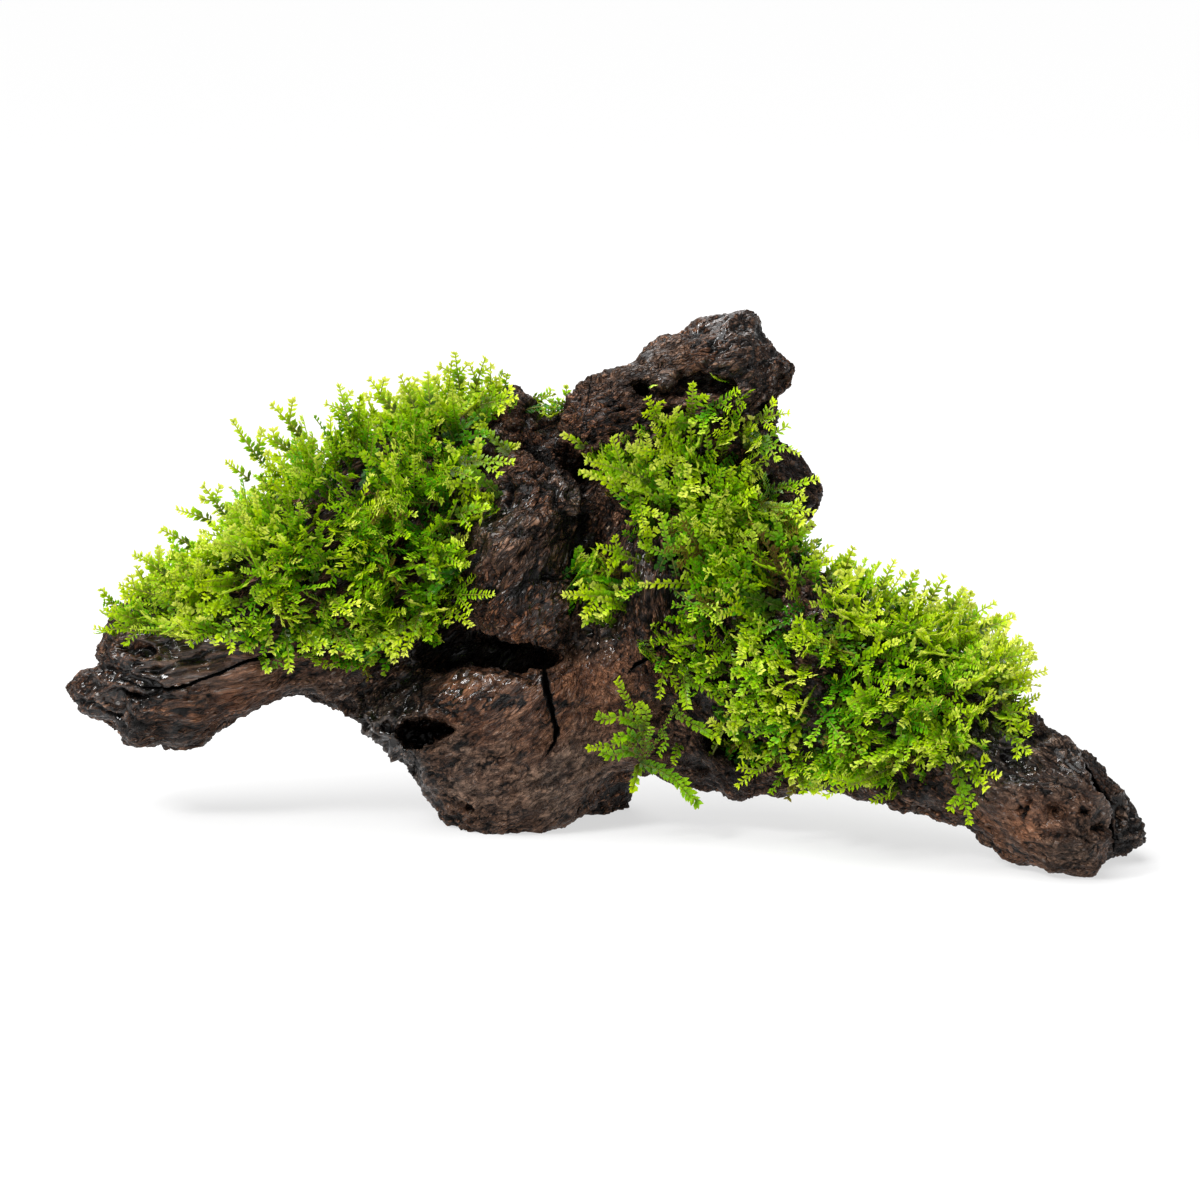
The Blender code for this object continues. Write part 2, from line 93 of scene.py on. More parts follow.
class Value:
    # a socket that can be added, multiplied and compared like a number
    def __init__(self, tree, socket):
        self.tree = tree
        self.socket = socket

    def maths(self, operation, *others):
        made = self.tree.nodes.new("ShaderNodeMath")
        made.operation = operation
        for place, item in enumerate((self, *others)):
            join(self.tree, item, made.inputs[place])
        return Value(self.tree, made.outputs[0])

    def __add__(self, other):
        return self.maths("ADD", other)

    def __radd__(self, other):
        return self.maths("ADD", other)

    def __sub__(self, other):
        return self.maths("SUBTRACT", other)

    def __rsub__(self, other):
        return self.maths("MULTIPLY", -1.0).maths("ADD", other)

    def __mul__(self, other):
        return self.maths("MULTIPLY", other)

    def __rmul__(self, other):
        return self.maths("MULTIPLY", other)

    def __truediv__(self, other):
        return self.maths("DIVIDE", other)

    def __rtruediv__(self, other):
        return self.maths("POWER", -1.0).maths("MULTIPLY", other)

    def __abs__(self):
        return self.maths("ABSOLUTE")

    def clamp(self, low=0.0, high=1.0):
        return self.maths("MAXIMUM", low).maths("MINIMUM", high)

    def step(self, start, end):
        # 0 before start, 1 after end, smooth between
        return make(self.tree, "ShaderNodeMapRange", {"interpolation_type": "SMOOTHSTEP"},
                    {0: self, 1: start, 2: end, 3: 0.0, 4: 1.0})

    def beside(self, output):
        # another output of the same node
        return Value(self.tree, self.socket.node.outputs[output])


def join(tree, item, socket):
    if isinstance(item, Value):
        tree.links.new(item.socket, socket)
    elif item is not None:
        socket.default_value = item


def make(tree, kind, settings=None, values=None, output=0):
    # a node, its settings first, then the values or links of its sockets
    made = tree.nodes.new(kind)
    for name, setting in (settings or {}).items():
        if name == "stops":
            ramp = made.color_ramp
            while len(ramp.elements) < len(setting):
                ramp.elements.new(0.5)
            for element, (place, colour) in zip(ramp.elements, setting):
                element.position = place
                element.color = (*colour, 1.0)
        else:
            setattr(made, name, setting)
    for key, item in (values or {}).items():
        join(tree, item, made.inputs[key])
    return Value(tree, made.outputs[output])


def mixColour(tree, factor, first, second):
    # factor, first and second are links or plain values
    return make(tree, "ShaderNodeMix", {"data_type": "RGBA", "blend_type": "MIX"},
                {0: factor, 6: rgba(first), 7: rgba(second)}, output=2)


def rgba(colour):
    return (*colour, 1.0) if isinstance(colour, tuple) and len(colour) == 3 else colour


def vectorMaths(tree, operation, first, second=None, scale=None):
    return make(tree, "ShaderNodeVectorMath", {"operation": operation},
                {0: first, 1: second, 3: scale})


def scaled(tree, vector, size):
    return vectorMaths(tree, "SCALE", vector, scale=size)


def shifted(tree, vector, by):
    return vectorMaths(tree, "ADD", vector, by)


def noise(tree, vector, scale, detail=3.0, roughness=0.55, distortion=0.0, output=0):
    return make(tree, "ShaderNodeTexNoise", None, {
        "Vector": vector, "Scale": scale, "Detail": detail, "Roughness": roughness,
        "Distortion": distortion}, output)


def veins(tree, vector, scale, width, detail, roughness, distortion):
    # 0 on the lines where the noise crosses its middle, 1 away from them
    level = noise(tree, vector, scale, detail, roughness, distortion)
    return abs(level * 2.0 - 1.0).step(0.0, width)


def cells(tree, vector, scale, feature="F1", output=0):
    return make(tree, "ShaderNodeTexVoronoi", {"feature": feature},
                {"Vector": vector, "Scale": scale}, output)


def newMaterial(name, settings):
    # a material with these values on its shader
    material = bpy.data.materials.new(name)
    material.use_nodes = True
    shader = material.node_tree.nodes["Principled BSDF"]
    for socket, value in settings.items():
        shader.inputs[socket].default_value = value
    return material, material.node_tree, shader


def newObject(name, data):
    item = bpy.data.objects.new(name, data)
    bpy.context.scene.collection.objects.link(item)
    return item


def meshObject(name, source):
    data = bpy.data.meshes.new(name)
    source.to_mesh(data)
    source.free()
    return newObject(name, data)


def settle(item):
    # the object's mesh becomes what its modifiers make of it
    graph = bpy.context.evaluated_depsgraph_get()
    data = bpy.data.meshes.new_from_object(item.evaluated_get(graph))
    item.modifiers.clear()
    old = item.data
    item.data = data
    bpy.data.meshes.remove(old)
    return item


def remesh(item, voxel):
    change = item.modifiers.new("Remesh", "REMESH")
    change.mode = "VOXEL"
    change.voxel_size = voxel
    return settle(item)


def soften(item, rounds):
    change = item.modifiers.new("Smooth", "SMOOTH")
    change.factor = 0.5
    change.iterations = rounds
    return settle(item)


def carve(item, cutter, operation="DIFFERENCE", keepCutter=False):
    change = item.modifiers.new("Boolean", "BOOLEAN")
    change.operation = operation
    change.solver = "MANIFOLD"
    change.object = cutter
    settle(item)
    if not keepCutter:
        bpy.data.objects.remove(cutter)
    return item


def triangles(item):
    return sum(len(face.vertices) - 2 for face in item.data.polygons)


def openGroup(name, inputs):
    # a node group with a mesh in and a mesh out, and these inputs: name, kind and value
    group = bpy.data.node_groups.new(name, "GeometryNodeTree")
    group.interface.new_socket("Geometry", in_out="INPUT", socket_type="NodeSocketGeometry")
    for label, kind, value in inputs:
        socket = group.interface.new_socket(label, in_out="INPUT", socket_type=kind)
        if value is not None:
            socket.default_value = value
    group.interface.new_socket("Geometry", in_out="OUTPUT", socket_type="NodeSocketGeometry")
    entry = group.nodes.new("NodeGroupInput")
    return group, {socket.name: Value(group, socket) for socket in entry.outputs if socket.name}


def closeGroup(group, result):
    leave = group.nodes.new("NodeGroupOutput")
    join(group, result, leave.inputs[0])
    return group


def runNodes(item, group, values):
    # inputs are set by the socket's identifier before the object is first evaluated
    change = item.modifiers.new("Nodes", "NODES")
    change.node_group = group
    for socket in group.interface.items_tree:
        if getattr(socket, "in_out", "") == "INPUT" and socket.name in values:
            change[socket.identifier] = values[socket.name]
    return settle(item)


def readValue(group, name, kind="FLOAT"):
    return make(group, "GeometryNodeInputNamedAttribute", {"data_type": kind}, {"Name": name})


def stored(group, geometry, name, value, kind="FLOAT", domain="POINT"):
    return make(group, "GeometryNodeStoreNamedAttribute", {"data_type": kind, "domain": domain},
                {"Geometry": geometry, "Name": name, "Value": value})


def random01(group, low, high, seed):
    return make(group, "FunctionNodeRandomValue", {"data_type": "FLOAT"},
                {2: low, 3: high, 8: seed}, output=1)


def vertexArray(data):
    flat = np.empty(len(data.vertices) * 3, np.float32)
    data.vertices.foreach_get("co", flat)
    return flat.reshape(-1, 3).astype(float)


def storePoints(data, name, values):
    # one number or one vector for each point of the mesh
    values = np.array(values, np.float32)
    kind, label = ("FLOAT_VECTOR", "vector") if values.ndim == 2 else ("FLOAT", "value")
    layer = data.attributes.get(name) or data.attributes.new(name, kind, "POINT")
    layer.data.foreach_set(label, values.ravel())


def treeOf(data):
    return BVHTree.FromPolygons([vertex.co for vertex in data.vertices],
                                [tuple(face.vertices) for face in data.polygons])


def handOver(piece, node):
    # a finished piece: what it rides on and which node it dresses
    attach(piece, "root")
    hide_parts(node)
    count = triangles(piece)
    print(piece.name, count, "triangles")
    return count


# The wood

wood = {
    "voxel": 0.40 * mm,
    "coarse": 1.6,                    # voxels of the first remesh, before the hollows are cut
    "closeGap": 0.25 * mm,            # grown by this, so that the fork cuts close
    "smoothing": 10,
    "mendFactor": 0.9,
    "mendRounds": 110,
    "crumb": 1000,                    # faces below which a loose bit is taken away
    "lumpSize": 8.0 * mm,
    "lumpHeight": 1.3 * mm,
    "plateSize": 6.5 * mm,            # flakes along the grain, each at a level of its own
    "plateHeight": 0.80 * mm,
    "ridgeSize": 3.6 * mm,
    "ridgeHeight": 0.50 * mm,
    "fibreSize": 1.35 * mm,
    "fibreHeight": 0.36 * mm,
    "pitSize": 2.9 * mm,
    "pitDepth": 1.6 * mm,
    "warp": 3.5 * mm,                 # how far the flakes are pushed out of line
    "dark": (0.060, 0.0245, 0.0120),
    "pale": (0.315, 0.148, 0.078),
    "darkRed": (0.095, 0.0330, 0.0140),
    "paleRed": (0.420, 0.175, 0.082),
    "darkFilm": (0.050, 0.032, 0.022),     # the grey film on weathered wood, also laid on as a painted sheen
    "paleFilm": (0.320, 0.240, 0.185),
    "crestHighlight": (0.50, 0.30, 0.20),          # painted highlight on the crests
    "creaseShade": (0.0045, 0.0022, 0.0014),
    "deep": (0.0025, 0.0014, 0.0010),      # painted shade in the low places of the relief
    "paintedGlint": (0.50, 0.47, 0.45),            # painted glints, standing for drops of water
    "soot": (0.0012, 0.0007, 0.0005),      # painted black shadow inside holes, hollows and under the right limb
    "chip": (0.42, 0.30, 0.20),
}

# Which way the grain runs: two points of the photograph with their depth in mm, and its reach in mm
grainLines = [
    ((80, 690, 0), (300, 620, 2), 14),
    ((300, 620, 2), (470, 470, 3), 16),
    ((470, 600, -12), (560, 510, -12), 9),
    ((490, 640, -16), (570, 600, -16), 8),
    ((430, 770, -4), (620, 690, -6), 14),
    ((600, 660, -6), (640, 500, 0), 12),
    ((700, 640, -5), (880, 710, -18), 14),
    ((880, 710, -18), (1100, 820, -40), 14),
    ((570, 430, 5), (750, 350, 5), 14),
    ((700, 470, 5), (810, 490, 5), 10),
    ((120, 690, 18), (430, 600, 28), 12),
    ((430, 600, 28), (740, 610, 30), 14),
    ((430, 740, 24), (640, 760, 26), 12),
    ((480, 500, 26), (760, 400, 26), 12),
    ((740, 610, 30), (900, 700, 0), 12),
]
weatherInputs = ("lumpSize", "lumpHeight", "plateSize", "plateHeight", "ridgeSize", "ridgeHeight",
                 "fibreSize", "fibreHeight", "pitSize", "pitDepth")
grainStretch = 0.46                   # how much of a length along the grain counts


def grainPlaces(places):
    # places squeezed along the grain, so that a pattern on them runs with it
    total = np.zeros(len(places))
    result = np.zeros_like(places)
    for first, second, reach in grainLines:
        start = np.array(spot(*first))
        line = np.array(spot(*second)) - start
        length = np.linalg.norm(line)
        along = line / length
        away = places - start
        share = np.clip(away @ along / length, 0.0, 1.0)
        gap = np.linalg.norm(away - share[:, None] * line, axis=1)
        weight = np.exp(-((gap / (reach * mm)) ** 2)) + 1e-9
        squeezed = places - (1.0 - grainStretch) * (places @ along)[:, None] * along
        result += weight[:, None] * squeezed
        total += weight
    return result / total[:, None]


def joinedCopies(name, nodes, grow):
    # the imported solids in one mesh, each of them grown a little
    mesh = bmesh.new()
    for node in nodes:
        mesh.from_mesh(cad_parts[node].data)
    bmesh.ops.remove_doubles(mesh, verts=mesh.verts[:], dist=1e-6)
    mesh.normal_update()
    shifts = [(vertex, vertex.normal * grow) for vertex in mesh.verts]
    for vertex, shift in shifts:
        vertex.co += shift
    return meshObject(name, mesh)


def weatherTree():
    # pushes the surface in and out along its normal: lumps, flakes, ridges with the grain, fibres, pits
    group, size = openGroup("weathering", [(name, "NodeSocketFloat", wood[name]) for name in weatherInputs])
    place = make(group, "GeometryNodeInputPosition")
    grain = readValue(group, "grain", "FLOAT_VECTOR")
    swirl = readValue(group, "swirl")
    rough = 1.0 - readValue(group, "calm") * 0.72
    lump = noise(group, place, 1.0 / size["lumpSize"], 3.0).step(0.28, 0.72) - 0.5
    warp = noise(group, grain, 1.4 / size["plateSize"], 3.0, 0.5, output=1)
    bent = shifted(group, grain, scaled(group, warp, wood["warp"]))
    flakes = cells(group, bent, 1.0 / size["plateSize"], output=1)
    level = make(group, "ShaderNodeSeparateXYZ", None, {0: flakes})
    gap = cells(group, bent, 1.0 / size["plateSize"], "DISTANCE_TO_EDGE")
    seam = 1.0 - gap.step(0.0, 0.09)
    ridge = veins(group, grain, 1.0 / size["ridgeSize"], 0.30, 2.0, 0.5, 0.9) - 0.6
    fibre = veins(group, shifted(group, grain, (0.031, 0.017, 0.023)), 1.0 / size["fibreSize"], 0.34,
                  1.0, 0.5, 1.2) - 0.55
    holes = cells(group, shifted(group, bent, (0.07, 0.02, 0.05)), 1.0 / size["pitSize"])
    pit = 1.0 - holes.step(0.12, 0.45)
    where = noise(group, shifted(group, place, (0.05, 0.02, 0.01)), 95.0, 2.0).step(0.50, 0.64)
    hollow = pit * (where * 0.7 * rough + readValue(group, "porous")).clamp(0.0, 1.0)
    height = (lump * size["lumpHeight"] * (0.35 + 0.65 * rough)
              + ((level - 0.5) * (1.0 + seam * -1.0) - seam * 0.35) * size["plateHeight"] * rough
              + ridge * size["ridgeHeight"] * rough + fibre * size["fibreHeight"] * (0.25 + 0.75 * rough)
              - hollow * size["pitDepth"] + swirl)
    push = scaled(group, make(group, "GeometryNodeInputNormal"), height)
    moved = make(group, "GeometryNodeSetPosition", None, {"Geometry": size["Geometry"], "Offset": push})
    # what the material reads: 1 on crests, 0 in low places
    crest = (ridge * 0.45 * rough + fibre * 0.55 + (level - 0.5) * 0.25 * rough - seam * 0.25 * rough
             - hollow * 0.9 + swirl * 300.0 + 0.55).clamp()
    return closeGroup(group, stored(group, moved, "crest", crest))


# Where the wood is worn smooth, porous, reddish, grey with film and painted sheen, black with painted
# shadow, or wet with painted glints: pixel, depth and reach in mm, and how much
woodZones = {
    "calm": [
        ((1065, 825), -46, 8, 0.8), ((1025, 825), -45, 9, 0.8), ((1085, 850), -44, 7, 0.7),
        ((985, 800), -42, 8, 0.6), ((500, 740), -16, 13, 1.0), ((560, 760), -16, 12, 1.0),
        ((600, 740), -16, 12, 0.9), ((470, 780), -16, 9, 0.9), ((540, 800), -16, 9, 1.0),
        ((600, 690), -16, 9, 0.8), ((230, 690), -10, 10, 0.6), ((300, 670), -10, 9, 0.5),
        ((1040, 800), -40, 9, 0.5),
    ],
    "porous": [
        ((375, 725), -12, 7, 1.0), ((398, 765), -12, 7, 1.0), ((420, 745), -14, 6, 0.9),
        ((350, 712), -10, 6, 0.8), ((425, 795), -10, 5, 0.7), ((310, 700), -2, 6, 0.5),
        ((785, 400), -2, 7, 0.8), ((765, 440), -2, 8, 0.6), ((640, 390), -8, 6, 0.8),
        ((150, 655), -13, 7, 0.6), ((215, 645), -12, 8, 0.7), ((130, 725), -10, 7, 0.7),
        ((80, 695), -5, 5, 0.5), ((990, 745), -38, 8, 0.6), ((1120, 830), -34, 6, 0.6),
    ],
    "red": [
        ((1018, 806), -45, 5, 0.9), ((996, 822), -43, 4, 0.9), ((600, 440), -4, 10, 0.9),
        ((640, 425), -5, 9, 0.8), ((525, 465), -7, 6, 0.9), ((600, 530), -6, 7, 1.0),
        ((530, 615), -17, 6, 0.8), ((480, 620), -15, 6, 0.8), ((640, 660), -18, 8, 0.9),
        ((590, 700), -18, 8, 0.7), ((490, 680), -18, 10, 1.0), ((450, 672), -16, 6, 0.9),
        ((550, 700), -18, 8, 0.8), ((620, 670), -18, 9, 0.9), ((540, 470), -8, 8, 0.7),
        ((610, 520), -10, 6, 1.0), ((620, 440), -5, 8, 0.8), ((260, 680), -10, 8, 0.7),
        ((350, 690), -10, 7, 0.8), ((1052, 806), -46, 4, 0.8), ((520, 620), -16, 9, 0.9),
        ((500, 596), -14, 6, 0.6), ((690, 380), -8, 8, 0.5), ((600, 800), -14, 6, 0.5),
        ((640, 720), -18, 8, 0.5),
    ],
    "grey": [
        ((1060, 765), -42, 9, 1.0), ((1085, 790), -42, 7, 0.8), ((1025, 760), -42, 8, 1.0),
        ((1040, 780), -45, 6, 0.7), ((1080, 830), -48, 8, 0.7), ((1120, 820), -34, 9, 0.8),
        ((560, 780), -17, 9, 0.8), ((470, 770), -17, 8, 0.8), ((610, 775), -12, 7, 0.7),
        ((530, 760), -18, 9, 0.5), ((440, 790), -14, 6, 0.7), ((360, 730), -12, 8, 1.0),
        ((385, 756), -12, 8, 1.0), ((412, 790), -10, 6, 0.8), ((375, 725), -12, 8, 1.0),
        ((398, 765), -12, 8, 1.0), ((350, 712), -10, 7, 0.9), ((495, 530), -14, 8, 0.7),
        ((470, 500), -10, 8, 0.6), ((200, 650), -12, 8, 0.7), ((600, 640), -14, 5, 0.7),
        ((640, 350), -4, 9, 0.5), ((1000, 750), -38, 8, 0.8), ((570, 490), -8, 5, 0.7),
        ((520, 790), -18, 8, 0.4), ((310, 700), -2, 6, 0.6),
    ],
    "soot": [
        ((430, 733), -2, 4.5, 0.9), ((408, 734), -2, 4, 0.9), ((446, 730), -4, 3, 0.9),
        ((470, 655), -6, 8, 1.0), ((500, 655), -6, 8, 1.0), ((440, 645), -5, 7, 1.0),
        ((530, 658), -8, 6, 1.0), ((580, 474), 0, 4, 1.0), ((640, 392), 0, 3.5, 0.8),
        ((700, 382), -2, 3.5, 1.0), ((680, 381), -2, 3.5, 1.0), ((722, 384), -3, 3, 1.0),
        ((580, 545), -6, 5, 0.7), ((740, 748), -14, 8, 0.9), ((720, 745), -12, 7, 0.9),
    ],
    "shine": [
        ((425, 736), -6, 5, 1.0), ((350, 716), -12, 6, 1.0), ((372, 742), -12, 6, 1.0),
        ((392, 768), -12, 6, 1.0), ((415, 795), -10, 5, 0.8), ((150, 660), -13, 9, 1.0),
        ((105, 700), -8, 7, 0.8), ((200, 660), -13, 8, 0.8), ((470, 672), -17, 7, 0.9),
        ((520, 680), -18, 5, 0.9), ((985, 755), -38, 7, 1.0), ((1020, 775), -42, 6, 0.9),
        ((1070, 775), -42, 7, 0.9), ((1100, 805), -46, 4, 0.8), ((745, 330), 0, 8, 0.8),
        ((480, 520), -12, 7, 0.7), ((600, 640), -14, 5, 0.8), ((570, 490), -8, 5, 0.8),
        ((540, 600), -14, 6, 0.5), ((1120, 820), -34, 6, 0.7),
    ],
}
# Rings in the grain round a knot: pixel, depth, half sizes in mm, turn, ring spacing and height in mm
swirls = [
    ((141, 653), -13, 7.0, 3.0, -10, 0.55, 0.42), ((112, 702), -10, 5.0, 3.2, -22, 0.6, 0.38),
    ((466, 808), -16, 3.2, 3.0, 0, 0.6, 0.35),
]

# Raised lines and grooves of the front: points in pixels, half width in pixels, height in mm
marks = [
    ([(115, 646), (122, 638), (136, 637), (150, 643), (160, 652)], 3.0, 0.7),
    ([(115, 646), (124, 655), (140, 659), (156, 661)], 2.6, 0.5),
    ([(124, 647), (138, 647), (152, 653)], 4.5, -1.5),
    ([(99, 668), (112, 672), (128, 678), (146, 684), (166, 688)], 4.5, -1.1),
    ([(113, 692), (125, 696), (137, 698), (150, 696), (160, 692)], 3.6, -2.2),
    ([(172, 690), (179, 685), (186, 691), (180, 698), (172, 690)], 2.2, 0.5),
    ([(78, 700), (100, 712), (120, 722), (124, 738)], 5.0, -0.7),
    ([(130, 724), (142, 733), (158, 738), (178, 736)], 4.0, 0.6),
    ([(993, 726), (1019, 741), (1038, 756), (1049, 767), (1066, 778), (1080, 785), (1094, 796),
      (1105, 809), (1112, 824), (1111, 840)], 3.0, 1.5),
    ([(1078, 757), (1086, 774), (1092, 790)], 2.4, 0.6),
    ([(1090, 766), (1097, 784), (1105, 799), (1116, 822), (1118, 846)], 3.0, -0.5),
    ([(1062, 762), (1074, 774), (1086, 790), (1094, 797)], 2.2, 0.8),
    ([(1120, 800), (1132, 812), (1140, 830)], 3.0, -0.8),
    ([(1104, 780), (1116, 790), (1128, 806)], 2.6, 0.6),
    ([(1126, 806), (1134, 816), (1134, 828)], 2.4, -0.9),
    ([(1010, 836), (1040, 842), (1066, 842)], 2.6, 0.5),
    ([(1028, 800), (1029, 807)], 2.0, 0.7),
    ([(1050, 824), (1060, 821)], 1.8, 0.6),
    ([(1069, 817), (1076, 816)], 1.8, 0.6),
    ([(1056, 757), (1068, 770)], 4.0, -0.8),
    ([(1019, 809), (1023, 814), (1027, 809), (1030, 801)], 2.6, -1.6),
    ([(1006, 790), (1012, 795)], 2.4, -1.0),
    ([(1081, 811), (1088, 813)], 2.8, -1.5),
    ([(1095, 830), (1101, 827), (1107, 829)], 3.2, -1.2),
    ([(1036, 785), (1037, 794)], 2.0, 0.6),
    ([(1010, 770), (1030, 778), (1052, 782)], 5.0, -0.6),
    ([(1058, 836), (1080, 838), (1098, 848)], 3.0, -0.6),
    ([(524, 447), (540, 455), (556, 465), (570, 477), (584, 486)], 4.5, -2.2),
    ([(514, 462), (518, 455), (526, 457), (540, 465), (554, 474), (566, 482)], 4.5, 0.9),
    ([(514, 452), (522, 452), (524, 460), (515, 462), (514, 452)], 3.0, 0.7),
    ([(508, 478), (509, 488), (507, 500)], 3.0, -1.6),
    ([(558, 486), (557, 500), (562, 512), (572, 520), (584, 516)], 3.2, -1.3),
    ([(564, 490), (572, 486), (581, 492), (582, 504), (573, 511), (565, 503)], 5.0, 0.9),
    ([(586, 486), (587, 505), (584, 530), (580, 556), (582, 584)], 4.0, -2.0),
    ([(568, 524), (574, 540), (576, 560)], 7.0, -1.2),
    ([(478, 542), (500, 530), (524, 520), (548, 516)], 7.0, 0.8),
    ([(470, 578), (500, 576), (530, 580), (556, 578)], 6.0, -0.6),
    ([(545, 577), (556, 578), (565, 578)], 2.2, -1.2),
    ([(472, 604), (486, 600), (500, 588)], 3.0, -0.7),
    ([(478, 618), (483, 606), (482, 600)], 2.2, -1.0),
    ([(466, 802), (474, 800), (479, 808), (474, 815), (466, 813), (463, 807), (466, 802)], 2.2, 0.5),
    ([(469, 806), (474, 809)], 3.0, -0.9),
    ([(480, 768), (520, 752), (556, 742)], 2.4, -0.4),
    ([(347, 716), (352, 714), (354, 719)], 3.2, 1.0),
    ([(362, 724), (366, 727)], 2.8, -1.6),
    ([(368, 716), (374, 720)], 2.6, 0.8),
    ([(374, 734), (378, 738)], 3.0, 0.9),
    ([(380, 728), (390, 730)], 2.8, -1.8),
    ([(384, 746), (388, 748)], 2.6, -1.4),
    ([(390, 755), (394, 758)], 2.8, 0.9),
    ([(400, 764), (402, 768)], 2.6, -1.3),
    ([(404, 757), (412, 766)], 2.4, 0.7),
    ([(408, 774), (412, 778)], 2.6, 0.8),
    ([(414, 786), (418, 788)], 2.6, -1.0),
    ([(420, 790), (428, 800)], 2.4, 0.6),
    ([(436, 690), (430, 700), (438, 708), (452, 715), (460, 722)], 2.6, -0.9),
    ([(444, 705), (462, 710), (480, 718)], 2.2, -0.5),
    ([(488, 757), (496, 760)], 3.0, -0.8),
    ([(540, 724), (560, 716), (585, 712)], 2.0, -0.35),
    ([(500, 806), (540, 792), (590, 776), (632, 756)], 4.0, 0.35),
    ([(600, 470), (604, 500), (600, 530)], 3.0, 0.5),
    ([(548, 790), (580, 778), (612, 762), (634, 746)], 3.0, 0.4),
    ([(600, 802), (608, 790), (622, 784)], 4.0, -1.0),
    ([(728, 318), (742, 314), (754, 320), (754, 332), (742, 338), (730, 332), (728, 318)], 2.4, 0.6),
    ([(735, 324), (748, 327)], 2.6, -0.6),
    ([(620, 372), (650, 362), (690, 356), (730, 364), (760, 374)], 5.0, 0.7),
]
# Pits of the solids that are only shallow marks on the wood: pixel, depth and reach in mm
mends = [
    ((112, 706), -10, 4.5, 1.0), ((468, 808), -15, 3.0, 0.75), ((1057, 812), -47, 3.6, 1.0),
    ((1022, 764), -44, 3.4, 0.7), ((1056, 810), -46, 4.0, 1.0), ((564, 456), 2, 4.5, 1.0),
    ((1108, 806), -44, 4.0, 0.8), ((1095, 828), -47, 2.6, 0.7), ((1098, 790), -44, 3.5, 0.8),
]


def zoneValues(places, zone):
    # at each place the strongest of a zone's spots, fading out round them
    total = np.zeros(len(places))
    for pixel, depth, reach, amount in zone:
        gap = np.linalg.norm(places - np.array(spot(*pixel, depth)), axis=1)
        total = np.maximum(total, amount * np.exp(-((gap / (reach * mm)) ** 3)))
    return total


def swirlValues(places):
    # the rings' height at each place
    total = np.zeros(len(places))
    for pixel, depth, halfAcross, halfUp, turn, spacing, height in swirls:
        away = (places - np.array(spot(*pixel, depth))) / mm
        angle = math.radians(turn)
        along = away[:, 0] * math.cos(angle) + away[:, 2] * math.sin(angle)
        up = away[:, 2] * math.cos(angle) - away[:, 0] * math.sin(angle)
        ring = np.hypot(along / halfAcross, up / halfUp)
        near = np.exp(-(ring ** 2) * 1.2) * np.exp(-((away[:, 1] / 7.0) ** 4))
        wave = np.cos(2 * math.pi * ring / spacing) - 0.6 * np.exp(-(ring * 3.5) ** 2)
        total += height * mm * near * wave
    return total


def markValues(places, normals):
    # the lines of the front, by where each point shows in the photograph's view
    ahead = np.array(aheadOf())
    up = np.array(upwardOf())
    away = places - np.array(eyePoint())
    away *= (view["distance"] / (away @ ahead))[:, None]
    shown = np.stack((view["frameCentre"] + away[:, 0] / view["pixel"],
                      view["frameCentre"] - away @ up / view["pixel"]), axis=1)
    towards = np.clip(normals @ -ahead * 2.5, 0.0, 1.0)
    total = np.zeros(len(places))
    for points, width, height in marks:
        gap = np.full(len(places), 1e9)
        for start, end in zip(points, points[1:]):
            start = np.array(start, float)
            line = np.array(end, float) - start
            share = np.clip((shown - start) @ line / (line @ line), 0.0, 1.0)
            gap = np.minimum(gap, np.linalg.norm(shown - start - share[:, None] * line, axis=1))
        total += height * mm * np.exp(-((gap / width) ** 2)) * towards
    return total


# How ragged the cuts are: lengths in pixels for the hollows, in mm for the cracks
cuts = {
    "outlineStep": 5.0,
    "levels": 9,                      # rings from a hollow's mouth to its bottom
    "taper": 1.5,                     # above 1 it narrows mostly near its bottom
    "outlineJitter": 2.2,
    "depthJitter": 0.3,               # in mm
    "crackStep": 0.9,
    "crackJitter": 0.16,
    "crackMouth": 2.2,                # widths at the mouth and at the bottom, in half widths
    "crackFoot": 0.3,
    "crackStart": 5.0,                # how far in front of its points a crack's wedge begins
}

